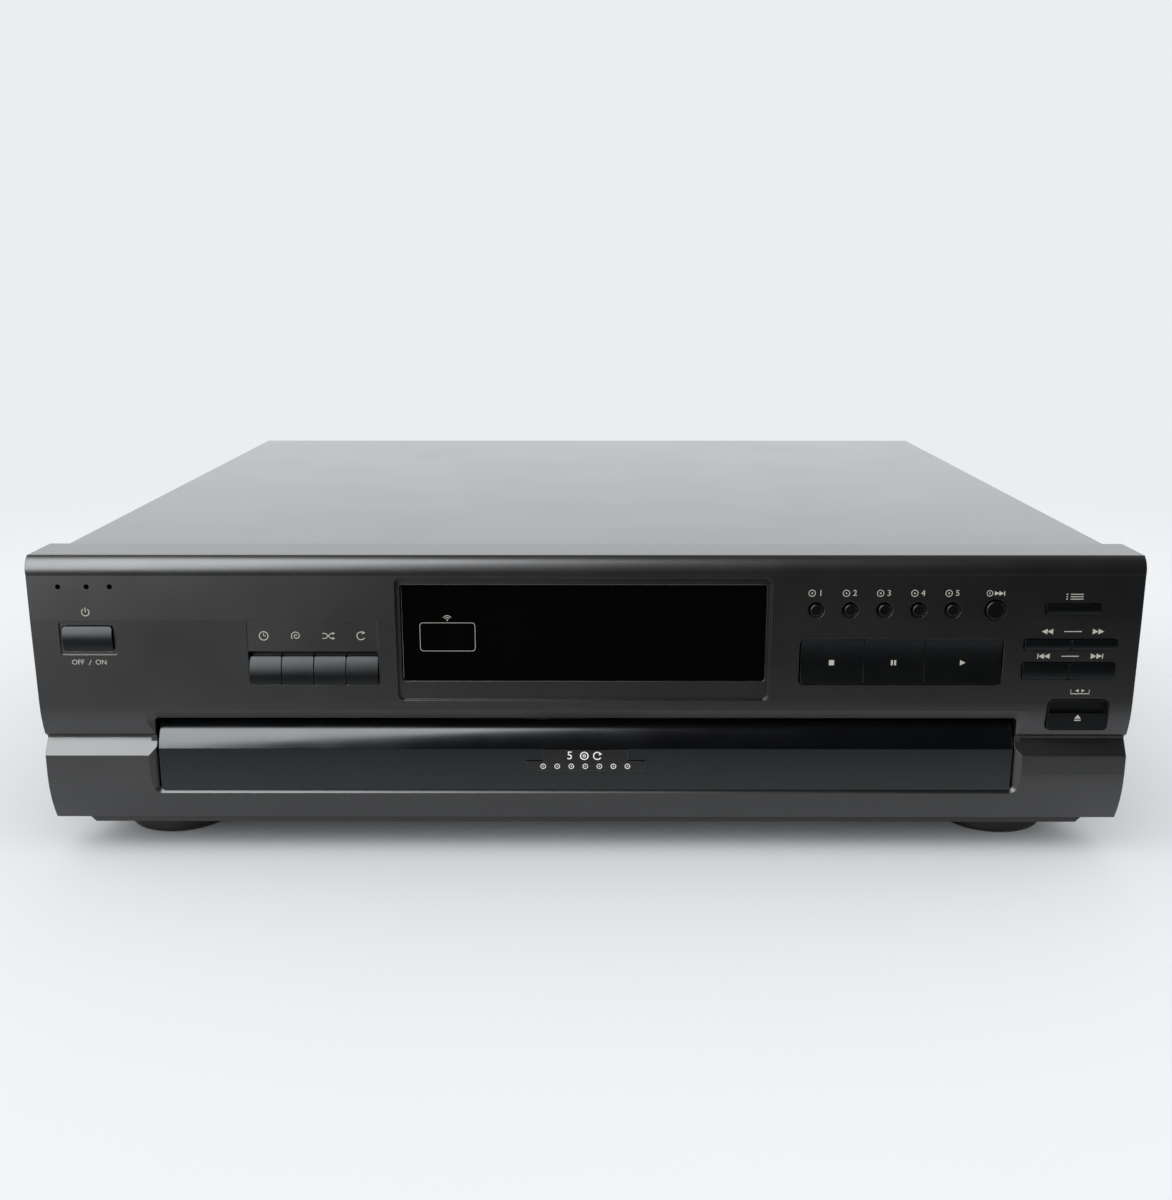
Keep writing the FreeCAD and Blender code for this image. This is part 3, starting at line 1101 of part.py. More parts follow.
def slider_guides():
    """Low ribs that the lift slider runs between."""
    z0, z1 = MECH_FLOOR_BOTTOM, SLIDER_BOTTOM + GUIDE_HEIGHT
    front = SLIDER_Y - BODY_GAP
    back = SLIDER_Y + SLIDER_THICK + BODY_GAP
    ribs = []
    for s in (-1, 1):
        x, rear_x = s * GUIDE_X, s * GUIDE_REAR_X
        ribs.append(box(x - GUIDE_HALF, x + GUIDE_HALF, front - GUIDE_THICK, front, z0, z1))
        ribs.append(box(rear_x - GUIDE_REAR_HALF, rear_x + GUIDE_REAR_HALF, back, back + GUIDE_THICK, z0, z1))
    return ribs


def pulley(x, r, z0, z1, bore):
    """Belt pulley with a flange on each side of its groove."""
    y = LOADING_Y
    third = (z1 - z0) / 4
    body = post(x, y, z0, z1, r)
    rims = [post(x, y, z0, z0 + third, r + PULLEY_FLANGE), post(x, y, z1 - third, z1, r + PULLEY_FLANGE)]
    return joined(body, rims).cut(post(x, y, z0 - 20, z1 + 20, bore))


def belt_level():
    """Lowest and highest point of the two pulleys' rims."""
    return RACK_BOTTOM, FLOOR_BOTTOM - 2 * GEAR_POST_DROP


def tray_drive_gear():
    """Double gear: the upper one drives the rack, the lower one is driven."""
    x, y = LOADING_GEAR_X, LOADING_Y
    z0 = MECH_FLOOR_TOP + BODY_GAP
    top = FLOOR_BOTTOM - BODY_GAP - GEAR_POST_DROP
    upper = gear(RACK_MODULE, RACK_PINION_TEETH, RACK_BOTTOM, top, x, y, 0.0)
    lower = gear(TRAIN_MODULE, TRAIN_BIG_TEETH, TRAIN_BOTTOM, TRAIN_BOTTOM + TRAIN_FACE, x, y, 180.0)
    hub = post(x, y, z0, top, POST_R + 3.0)
    return joined(upper, [lower, hub]).cut(post(x, y, 0, top + 1, POST_R + RUN_FIT))


def belt_pulley():
    """Large pulley with the small gear under it."""
    x, y = BELT_PULLEY_X, LOADING_Y
    z0, z1 = belt_level()
    wheel = pulley(x, BELT_PULLEY_R, z0, z1, POST_R + RUN_FIT)
    teeth, train_top = TRAIN_SMALL_TEETH, TRAIN_BOTTOM + TRAIN_FACE
    small = gear(TRAIN_MODULE, teeth, TRAIN_BOTTOM, train_top, x, y, 180.0 / teeth)
    hub = post(x, y, MECH_FLOOR_TOP + BODY_GAP, z0 + 0.5, TRAIN_SMALL_R - 1.5)
    return joined(wheel, [small, hub]).cut(post(x, y, 0, z1 + 1, POST_R + RUN_FIT))


def loading_motor():
    x, y = MOTOR_PULLEY_X, LOADING_Y
    z1 = belt_level()[0] - 1.0
    can = post(x, y, MECH_FLOOR_TOP, z1, MOTOR_R - 1.0)
    shaft = post(x, y, z1 - 1, belt_level()[1], SHAFT_R)
    return joined(can, [shaft])


def motor_pulley():
    z0, z1 = belt_level()
    return pulley(MOTOR_PULLEY_X, MOTOR_PULLEY_R, z0, z1, SHAFT_R + RUN_FIT)


def loading_belt():
    """Square belt round both pulleys, along their common tangents."""
    z0, z1 = belt_level()
    middle = (z0 + z1) / 2
    return belt_loop(BODY_GAP + BELT_SIZE, middle).cut(belt_loop(BODY_GAP, middle, 1.0))


def belt_loop(grow, middle, tall=0.0):
    """Solid bounded by the belt's line, grown outwards."""
    big, small = BELT_PULLEY_R + grow, MOTOR_PULLEY_R + grow
    lean = math.acos((big - small) / BELT_REACH)
    x_big, x_small, y = BELT_PULLEY_X, MOTOR_PULLEY_X, LOADING_Y
    z = middle - BELT_SIZE / 2 - tall

    def at(x, r, angle):
        return V(x - r * math.cos(angle), y + r * math.sin(angle), z)

    edges = [Part.LineSegment(at(x_big, big, lean), at(x_small, small, lean)).toShape(),
             Part.Arc(at(x_small, small, lean), at(x_small, small, 0), at(x_small, small, -lean)).toShape(),
             Part.LineSegment(at(x_small, small, -lean), at(x_big, big, -lean)).toShape(),
             Part.Arc(at(x_big, big, -lean), at(x_big, big, math.pi), at(x_big, big, lean)).toShape()]
    return Part.Face(Part.Wire(Part.__sortEdges__(edges))).extrude(V(0, 0, BELT_SIZE + 2 * tall))


# ---- Traverse deck -------------------------------------------------------------------------
def lift_slider():
    """Plate whose two slanting slots raise the deck's pins."""
    y0, y1 = SLIDER_Y, SLIDER_Y + SLIDER_THICK
    plate = box(-SLIDER_HALF, SLIDER_HALF, y0, y1, SLIDER_BOTTOM, SLIDER_TOP)
    return cut(plate, [slanting_slot(s * LIFT_PIN_X, y0 - 1, y1 + 1) for s in (-1, 1)])


def slanting_slot(x, y0, y1):
    """Slot that holds a pin at its lower end. It climbs towards -X as the slider moves to +X."""
    r = LIFT_PIN_R + BODY_GAP
    start = V(x, y0, LIFT_PIN_Z)
    end = V(x - SLIDER_TRAVEL, y0, LIFT_PIN_Z + DECK_LIFT)
    along = (end - start).normalize()
    side = V(-along.z, 0, along.x) * r
    corners = [start + side, end + side, end - side, start - side, start + side]
    run = Part.Face(Part.makePolygon(corners)).extrude(V(0, y1 - y0, 0))
    ends = [Part.makeCylinder(r, y1 - y0, p, V(0, 1, 0)) for p in (start, end)]
    return run.fuse(ends)


def traverse_deck():
    """Sled plate that lifts the turntable and the pickup up to the disc."""
    plate = box(-DECK_HALF, DECK_HALF, DECK_FRONT, DECK_BACK, DECK_BOTTOM, DECK_BOTTOM + DECK_THICK)
    low, top = LIFT_PIN_Z - LIFT_PIN_R - 1.0, DECK_BOTTOM + DECK_THICK
    flange = box(-DECK_HALF, DECK_HALF, DECK_FRONT - DECK_FLANGE, DECK_FRONT, low, top)
    pins = [rod(s * LIFT_PIN_X, LIFT_PIN_Z, SLIDER_Y - BODY_GAP, DECK_FRONT, LIFT_PIN_R) for s in (-1, 1)]
    holders = []
    for y0, y1 in rod_holder_spans():
        holders.append(box(-PICKUP_HALF, PICKUP_HALF, y0, y1, DECK_BOTTOM, ROD_Z + ROD_R + ROD_COVER))
    half, wide, motor_end = SLED_BEARING_HALF, SLED_SEAT_HALF, sled_motor_span()[1]
    holder = DECK_BACK - ROD_HOLDER
    bearing = box(SLED_X - half, SLED_X + half, holder, DECK_BACK, SLED_Z - half, DECK_BOTTOM + 1)
    seat = box(SLED_X - wide, SLED_X + wide, motor_end, motor_end + 1.5, SLED_Z - 3, DECK_BOTTOM + 1)
    solid = joined(plate, [flange, bearing, seat] + pins + holders)
    cuts = [box(-TUNNEL_HALF, TUNNEL_HALF, TUNNEL_FRONT, holder, DECK_BOTTOM - 2, ROD_Z + 10)]
    cuts += [rod(s * ROD_X, ROD_Z, TUNNEL_FRONT - 4, DECK_BACK + 1, ROD_R) for s in (-1, 1)]
    for x in (-DECK_POST_X, DECK_POST_X):
        cuts += [post(x, y, 0, MECH_TOP, DECK_POST_R + RUN_FIT) for y in DECK_POST_Y]
    cuts.append(post(0, PLAY_Y, 0, MECH_TOP, CONE_TOP_R))
    cuts.append(rod(SLED_X, SLED_Z, motor_end - 1, DECK_BACK + 1, SLED_SCREW_R + RUN_FIT))
    return cut(solid, cuts).removeSplitter()


def rod_holder_spans():
    """Front and back of the two blocks that hold the guide rods' ends."""
    return [(TUNNEL_FRONT - ROD_HOLDER, TUNNEL_FRONT), (DECK_BACK - ROD_HOLDER, DECK_BACK)]


def guide_rods():
    y0 = rod_holder_spans()[0][0]
    return Part.makeCompound([rod(s * ROD_X, ROD_Z, y0, DECK_BACK, ROD_R) for s in (-1, 1)])


def spindle_motor():
    can = post(0, PLAY_Y, LIFT_PIN_Z - 8.0, DECK_BOTTOM, MOTOR_R)
    return can.cut(post(0, PLAY_Y, DECK_BOTTOM - 6.0, DECK_BOTTOM + 1, SHAFT_R + RUN_FIT))


def turntable():
    """Platter with the cone that centres a disc, on its shaft."""
    y = PLAY_Y
    platter = post(0, y, PLATTER_BOTTOM, PLATTER_TOP, PLATTER_R)
    centre = cone(0, y, PLATTER_TOP, PLATTER_TOP + CONE_HEIGHT, CONE_R, CONE_TOP_R)
    boss = post(0, y, DECK_BOTTOM + DECK_THICK, PLATTER_BOTTOM, 4.0)
    shaft = post(0, y, DECK_BOTTOM - 5.0, DECK_BOTTOM + DECK_THICK, SHAFT_R)
    return joined(platter, [centre, boss, shaft])


def optical_pickup():
    """Carriage on two rods, with an arm down to the sled screw."""
    y0, y1 = LENS_Y - PICKUP_FRONT, LENS_Y + PICKUP_REAR
    body = box(-PICKUP_HALF, PICKUP_HALF, y0, y1, PICKUP_BOTTOM, PICKUP_TOP)
    arm_top = DECK_BOTTOM - BODY_GAP
    arm = box(PICKUP_HALF - 7, SLED_X + 3.5, LENS_Y - 2, LENS_Y + 8, SLED_Z - 3, arm_top)
    solid = joined(body, [arm])
    cuts = [rod(s * ROD_X, ROD_Z, y0 - 1, y1 + 1, ROD_R + RUN_FIT) for s in (-1, 1)]
    cuts.append(rod(SLED_X, SLED_Z, y0 - 1, y1 + 1, SLED_SCREW_R + RUN_FIT))
    return cut(solid, cuts)


def objective_lens():
    barrel = post(0, LENS_Y, PICKUP_TOP, LENS_TOP, LENS_R + 1.2)
    return barrel.makeFillet(0.5, [e for e in barrel.Edges if e.BoundBox.ZMin > LENS_TOP - 0.1])


def sled_motor_span():
    """Front and back of the sled motor's can."""
    y1 = LENS_Y - PICKUP_FRONT - SLED_MOTOR_GAP
    return y1 - SLED_MOTOR_LENGTH, y1


def sled_motor():
    y0, y1 = sled_motor_span()
    can = rod(SLED_X, SLED_Z, y0, y1, SLED_MOTOR_R)
    web = box(SLED_X - 3, SLED_X + 3, y0 + 2, y1 - 2, SLED_Z, DECK_BOTTOM)
    return joined(can, [web])


def sled_screw():
    y0 = sled_motor_span()[1]
    return rod(SLED_X, SLED_Z, y0 + BODY_GAP, DECK_BACK, SLED_SCREW_R)


# ---- Clamp ---------------------------------------------------------------------------------
def clamp_bridge():
    """Beam across the drawer that the clamper hangs in."""
    y0, y1 = PLAY_Y - BRIDGE_WIDTH / 2, PLAY_Y + BRIDGE_WIDTH / 2
    z0, z1 = MECH_TOP, MECH_TOP + BRIDGE_SHEET
    beam = box(-MECH_OUTER, MECH_OUTER, y0, y1, z0, z1)
    ribs = [box(-MECH_OUTER, MECH_OUTER, y, y + 2.0, z1, z1 + BRIDGE_RIB) for y in (y0, y1 - 2.0)]
    board_post = post(BRIDGE_POST_X, PLAY_Y, z0 + 1, MAIN_BOARD_Z, BOARD_POST_R)
    solid = joined(beam, ribs + [board_post])
    return cut(solid, [post(0, PLAY_Y, 0, z1 + 20, CLAMP_NECK_R + CLAMP_PLAY)])


def clamper():
    """Puck that hangs in the bridge and turns with the disc."""
    y = PLAY_Y
    plate_top = MECH_TOP + BRIDGE_SHEET
    flange_z = plate_top + BODY_GAP
    pad = post(0, y, CLAMP_BOTTOM, CLAMP_BOTTOM + CLAMP_PAD, CLAMP_PAD_R)
    neck = post(0, y, CLAMP_BOTTOM, flange_z + CLAMP_TOP_THICK, CLAMP_NECK_R)
    top = post(0, y, flange_z, flange_z + CLAMP_TOP_THICK, CLAMP_TOP_R)
    recess = post(0, y, CLAMP_BOTTOM - 1, CLAMP_BOTTOM + CLAMP_RECESS, CLAMP_RECESS_R)
    return joined(pad, [neck, top]).cut(recess)


# ---- Electronics ---------------------------------------------------------------------------
def front_board():
    y0, y1 = FRONT_BOARD_Y, FRONT_BOARD_Y + BOARD_THICK
    half = FRONT_BOARD_HALF
    tab_end = half + FRONT_BOARD_TAB_REACH
    board = box(-half, half, y0, y1, FRONT_BOARD_BOTTOM, FRONT_BOARD_TOP)
    tab = box(FRONT_BOARD_TAB_X, tab_end, y0, y1, FRONT_BOARD_TAB_Z, FRONT_BOARD_TOP)
    return joined(board, [tab])


def display_tube():
    """Fluorescent tube behind the window, on its pad."""
    y1 = FRONT_BOARD_Y
    z = (WINDOW_BOTTOM + WINDOW_TOP) / 2
    half = TUBE_LENGTH / 2
    x0, x1 = DISPLAY_X - half, DISPLAY_X + half
    back = y1 - 2.5
    tube = rounded_plate(x0, x1, z - TUBE_HEIGHT / 2, z + TUBE_HEIGHT / 2, back - TUBE_DEPTH, back, 1.0)
    pad = box(x0 + 6, x1 - 6, back, y1, z - TUBE_HEIGHT / 3, z + TUBE_HEIGHT / 3)
    return joined(tube, [pad])


def key_switches():
    """One push switch behind each button."""
    switches = []
    y0 = FRONT_BOARD_Y - SWITCH_HEIGHT
    for spec in KEYS:
        x, z, half = spec["x"], spec["z"], SWITCH_SIZE / 2
        case = box(x - half, x + half, y0 + SWITCH_PLUNGER, FRONT_BOARD_Y, z - half, z + half)
        plunger = rod(x, z, y0, y0 + SWITCH_PLUNGER + 0.5, SWITCH_PLUNGER_R)
        switches.append(joined(case, [plunger]))
    return Part.makeCompound(switches)


def main_board():
    z0, z1 = MAIN_BOARD_Z, MAIN_BOARD_Z + BOARD_THICK
    return box(MAIN_BOARD_LEFT, MAIN_BOARD_RIGHT, MAIN_BOARD_FRONT, MAIN_BOARD_BACK, z0, z1)


def board_parts():
    """Chips, capacitors, plugs and the finned heat sink on the main board."""
    z = MAIN_BOARD_Z + BOARD_THICK
    x0, y0 = MAIN_BOARD_LEFT, MAIN_BOARD_FRONT
    chips = ((24, 30, 16, 16), (62, 34, 20, 14), (30, 78, 14, 20), (78, 84, 12, 12))
    cans = ((104, 24, 6.5, 18), (122, 24, 6.5, 18), (104, 46, 5, 13), (120, 46, 4, 11),
            (66, 116, 4, 9), (80, 116, 4, 9), (50, 110, 3, 7))
    parts = []
    for dx, dy, width, depth in chips:
        parts.append(box(x0 + dx, x0 + dx + width, y0 + dy, y0 + dy + depth, z, z + CHIP_HEIGHT))
    for dx, dy, r, height in cans:
        parts.append(post(x0 + dx, y0 + dy, z, z + height, r))
    plug_width, plug_depth, plug_height = PLUG_SIZE
    for i in range(3):
        x, y = x0 + FIRST_PLUG[0], y0 + FIRST_PLUG[1] + i * PLUG_PITCH
        parts.append(box(x, x + plug_width, y, y + plug_depth, z, z + plug_height))
    parts.append(heat_sink(x0 + HEAT_SINK_PLACE[0], y0 + HEAT_SINK_PLACE[1], z))
    return Part.makeCompound(parts)


def heat_sink(x, y, z):
    z1 = z + SINK_HEIGHT
    width = (FIN_COUNT - 1) * FIN_PITCH + FIN_THICK
    web = box(x, x + width, y, y + SINK_WEB, z, z1)
    fins = []
    for i in range(FIN_COUNT):
        left = x + i * FIN_PITCH
        fins.append(box(left, left + FIN_THICK, y, y + FIN_DEPTH, z, z1))
    return joined(web, fins)


def transformer():
    """Laminated core with its winding, standing on two feet."""
    width, depth, height = CORE_SIZE
    z0 = BASE_TOP + CORE_FOOT
    x0, x1 = CORE_X - width / 2, CORE_X + width / 2
    core = box(x0, x1, CORE_Y - depth / 2, CORE_Y + depth / 2, z0, z0 + height)
    middle = z0 + height / 2
    wide, deep, high = [size / 2 for size in COIL_SIZE]
    coil = box(CORE_X - wide, CORE_X + wide, CORE_Y - deep, CORE_Y + deep, middle - high, middle + high)
    coil = coil.makeFillet(3.0, [e for e in coil.Edges if e.BoundBox.ZLength > 5])
    foot_half = depth / 2 + CORE_FOOT_REACH
    base = box(x0, x1, CORE_Y - foot_half, CORE_Y + foot_half, BASE_TOP, z0)
    return joined(core, [coil, base])


def jack_places():
    return [JACK_X - JACK_PITCH / 2, JACK_X + JACK_PITCH / 2]


def output_jacks():
    """Two coaxial output sockets on one block, soldered to the main board."""
    block = box(JACK_X - JACK_PITCH, JACK_X + JACK_PITCH, REAR_FRONT - JACK_BODY, REAR_FRONT,
                MAIN_BOARD_Z + BOARD_THICK, JACK_Z + JACK_SHOULDER_R + 1.0)
    barrels = [rod(x, JACK_Z, REAR_FRONT - 2, REAR_BACK + JACK_LENGTH, JACK_R) for x in jack_places()]
    shoulders = [rod(x, JACK_Z, REAR_FRONT - 2, REAR_BACK, JACK_SHOULDER_R) for x in jack_places()]
    solid = joined(block, barrels + shoulders)
    end = REAR_BACK + JACK_LENGTH
    cuts = []
    for x in jack_places():
        gap = rod(x, JACK_Z, end - 1.0, end + 1, JACK_INNER_R)
        cuts.append(gap)
        cuts.append(rod(x, JACK_Z, end - 1.0 - JACK_CONTACT_DEPTH, end + 1, JACK_CONTACT_R))
    return cut(solid, cuts)


def figure_eight(x, z, y0, y1):
    """Two round ends joined by a block, as a solid along Y."""
    r = INLET_HEIGHT / 2
    reach = (INLET_WIDTH - INLET_HEIGHT) / 2
    ends = [rod(x + s * reach, z, y0, y1, r) for s in (-1, 1)]
    return box(x - reach, x + reach, y0, y1, z - r, z + r).fuse(ends)


def ac_inlet():
    """Mains socket with two pins, clipped into the rear panel."""
    wide, high = INLET_WIDTH / 2 + INLET_WALL, INLET_HEIGHT / 2 + INLET_WALL
    back = REAR_BACK + 1.0
    front = REAR_FRONT - INLET_DEPTH - 2.0
    body = box(INLET_X - wide, INLET_X + wide, front, back, INLET_Z - high, INLET_Z + high)
    wide, high = wide + INLET_FLANGE, high + INLET_FLANGE
    flange = box(INLET_X - wide, INLET_X + wide, REAR_BACK, back, INLET_Z - high, INLET_Z + high)
    socket = figure_eight(INLET_X, INLET_Z, back - INLET_DEPTH, back + 1)
    pin_end = back - INLET_DEPTH + INLET_PIN_LENGTH
    pins = [rod(INLET_X + s * INLET_PIN_PITCH / 2, INLET_Z, front, pin_end, INLET_PIN_R) for s in (-1, 1)]
    return joined(joined(body, [flange]).cut(socket), pins)


# ---- Export --------------------------------------------------------------------------------
def pieces():
    """Every node's name and the function that draws it."""
    made = {
        "front_panel": front_panel,
        "display_window": display_window,
        "top_cover": top_cover,
        "bottom_chassis": bottom_chassis,
        "rear_panel": rear_panel,
        "feet": feet,
        "case_screws": case_screws,
        "drawer_front": drawer_front,
        "drawer_badge": drawer_badge,
        "drawer_tray": drawer_tray,
        "carousel": carousel,
        "carousel_cap": carousel_cap,
        "carousel_ring_gear": carousel_ring_gear,
        "carousel_motor": carousel_motor,
        "carousel_pinion": carousel_pinion,
        "mech_chassis": mech_chassis,
        "tray_drive_gear": tray_drive_gear,
        "belt_pulley": belt_pulley,
        "loading_motor": loading_motor,
        "motor_pulley": motor_pulley,
        "loading_belt": loading_belt,
        "lift_slider": lift_slider,
        "traverse_deck": traverse_deck,
        "guide_rods": guide_rods,
        "spindle_motor": spindle_motor,
        "turntable": turntable,
        "optical_pickup": optical_pickup,
        "objective_lens": objective_lens,
        "sled_motor": sled_motor,
        "sled_screw": sled_screw,
        "clamp_bridge": clamp_bridge,
        "clamper": clamper,
        "front_board": front_board,
        "display_tube": display_tube,
        "key_switches": key_switches,
        "main_board": main_board,
        "board_parts": board_parts,
        "transformer": transformer,
        "output_jacks": output_jacks,
        "ac_inlet": ac_inlet,
    }
    for spec in KEYS:
        made[spec["name"]] = lambda spec=spec: button(spec)
    return made


def main():
    os.makedirs("parts", exist_ok=True)
    for name, draw in pieces().items():
        shape = draw()
        shape.translate(V(0, ORIGIN_SHIFT, 0))
        shape.exportStep("parts/%s.step" % name)
        print("%-22s solids %d  valid %s" % (name, len(shape.Solids), shape.isValid()))


if __name__ == "__main__":
    main()
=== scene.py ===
"""Looks of the five disc CD changer: camera, studio, finishes and printed symbols.

Metres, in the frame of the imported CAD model: X to the right, Y back, Z up, floor at Z = 0.
Printed details and the patches and relief of the finishes are in millimetres, scaled by MM.
"""
import bmesh
import bpy
import math
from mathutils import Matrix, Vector
from mathutils.bvhtree import BVHTree


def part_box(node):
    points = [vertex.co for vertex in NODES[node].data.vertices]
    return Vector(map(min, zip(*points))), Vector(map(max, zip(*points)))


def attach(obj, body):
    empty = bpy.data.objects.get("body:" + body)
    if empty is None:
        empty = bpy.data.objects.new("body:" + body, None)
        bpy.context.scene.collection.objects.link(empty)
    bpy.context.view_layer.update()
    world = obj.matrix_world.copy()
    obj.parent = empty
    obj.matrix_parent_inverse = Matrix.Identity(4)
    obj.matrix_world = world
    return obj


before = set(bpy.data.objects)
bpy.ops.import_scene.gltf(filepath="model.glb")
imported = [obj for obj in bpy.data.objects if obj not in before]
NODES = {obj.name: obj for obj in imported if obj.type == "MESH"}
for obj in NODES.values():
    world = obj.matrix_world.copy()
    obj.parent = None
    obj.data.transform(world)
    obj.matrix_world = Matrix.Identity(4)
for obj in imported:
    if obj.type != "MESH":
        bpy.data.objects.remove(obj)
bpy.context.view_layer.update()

MM = 0.001
SCENE = bpy.context.scene

# ---- Camera --------------------------------------------------------------------------------
CAMERA_PLACE = (1.5, -498.0, 229.7)     # mm, Y counted from the front panel's face
CAMERA_PITCH = math.radians(13.72)      # below the horizon
CAMERA_YAW = math.radians(0.14)
CAMERA_FOCAL = 1331.0                   # in pixels of the frame
FRAME_SIDE = 1200.0                     # pixels along the frame's longer side
SENSOR = 36.0                           # mm, the sensor's size along that side
CAMERA_NEAR = 0.01                      # metres

FRONT_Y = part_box("front_panel")[0].y


def add_camera():
    data = bpy.data.cameras.new("camera")
    data.sensor_fit = "AUTO"
    data.sensor_width = SENSOR
    data.lens = CAMERA_FOCAL * SENSOR / FRAME_SIDE
    data.clip_start = CAMERA_NEAR
    camera = bpy.data.objects.new("camera", data)
    x, y, z = [v * MM for v in CAMERA_PLACE]
    camera.location = (x, FRONT_Y + y, z)
    camera.rotation_euler = (math.pi / 2 - CAMERA_PITCH, 0.0, CAMERA_YAW)
    SCENE.collection.objects.link(camera)
    SCENE.camera = camera


# ---- Node helpers --------------------------------------------------------------------------
BLACK = (0.0, 0.0, 0.0, 1.0)
MIX_A, MIX_B, MIX_RESULT = 6, 7, 2      # the sockets for colours of a Mix node


def link_in(links, source, socket):
    """Sets a socket to a number or colour, or joins it to another node's output."""
    if isinstance(source, bpy.types.NodeSocket):
        links.new(source, socket)
    else:
        socket.default_value = source


def maths(tree, operation, a, b):
    node = tree.nodes.new("ShaderNodeMath")
    node.operation = operation
    link_in(tree.links, a, node.inputs[0])
    link_in(tree.links, b, node.inputs[1])
    return node.outputs[0]


def vector_maths(tree, operation, a, b):
    node = tree.nodes.new("ShaderNodeVectorMath")
    node.operation = operation
    link_in(tree.links, a, node.inputs[0])
    link_in(tree.links, b, node.inputs[1])
    return node.outputs["Value"]


def unit(tree, vector):
    node = tree.nodes.new("ShaderNodeVectorMath")
    node.operation = "NORMALIZE"
    tree.links.new(vector, node.inputs[0])
    return node.outputs["Vector"]


def mapped(tree, value, low, high, to_low=0.0, to_high=1.0, smooth=False):
    """The value's place between low and high, spread out from to_low to to_high."""
    node = tree.nodes.new("ShaderNodeMapRange")
    node.interpolation_type = "SMOOTHSTEP" if smooth else "LINEAR"
    limits = {"From Min": low, "From Max": high, "To Min": to_low, "To Max": to_high}
    for name, source in {"Value": value, **limits}.items():
        link_in(tree.links, source, node.inputs[name])
    return node.outputs["Result"]


def mixed(tree, amount, a, b):
    """Colour between a and b, or past b where the amount is above 1."""
    node = tree.nodes.new("ShaderNodeMix")
    node.data_type = "RGBA"
    node.clamp_factor = False
    link_in(tree.links, amount, node.inputs["Factor"])
    link_in(tree.links, a, node.inputs[MIX_A])
    link_in(tree.links, b, node.inputs[MIX_B])
    return node.outputs[MIX_RESULT]


def colour(red, green, blue):
    """Linear colour with alpha, from the 0-255 values of a picture."""
    def linear(v):
        v /= 255.0
        return v / 12.92 if v <= 0.04045 else ((v + 0.055) / 1.055) ** 2.4
    return (linear(red), linear(green), linear(blue), 1.0)


def scaled(rgba, k):
    return (rgba[0] * k, rgba[1] * k, rgba[2] * k, 1.0)


# ---- Finishes ------------------------------------------------------------------------------
BEVEL_SAMPLES = 6
NOISE_LEVELS = (0.3, 0.7)       # what most of a noise lies between
RAGGED_LEVELS = (0.35, 0.65)    # the same, with more of it at full strength
STREAK_LEVELS = (0.74, 0.82)    # where a stretched noise is a scratch
SCRATCHED_LEVELS = (0.58, 0.7)  # where a broad noise lets scratches through
SCRATCHED_SIZE = (90, 35)       # that noise's size in scratch widths, and how much more for the next set
TOP_FACING = (0.9, 0.99)        # how nearly straight up a top face looks
EDGE_FACING = (0.99, 0.85)      # how nearly a rounded edge looks the way its face does: unworn, worn
WEAR_PATCH = 9.0                # mm


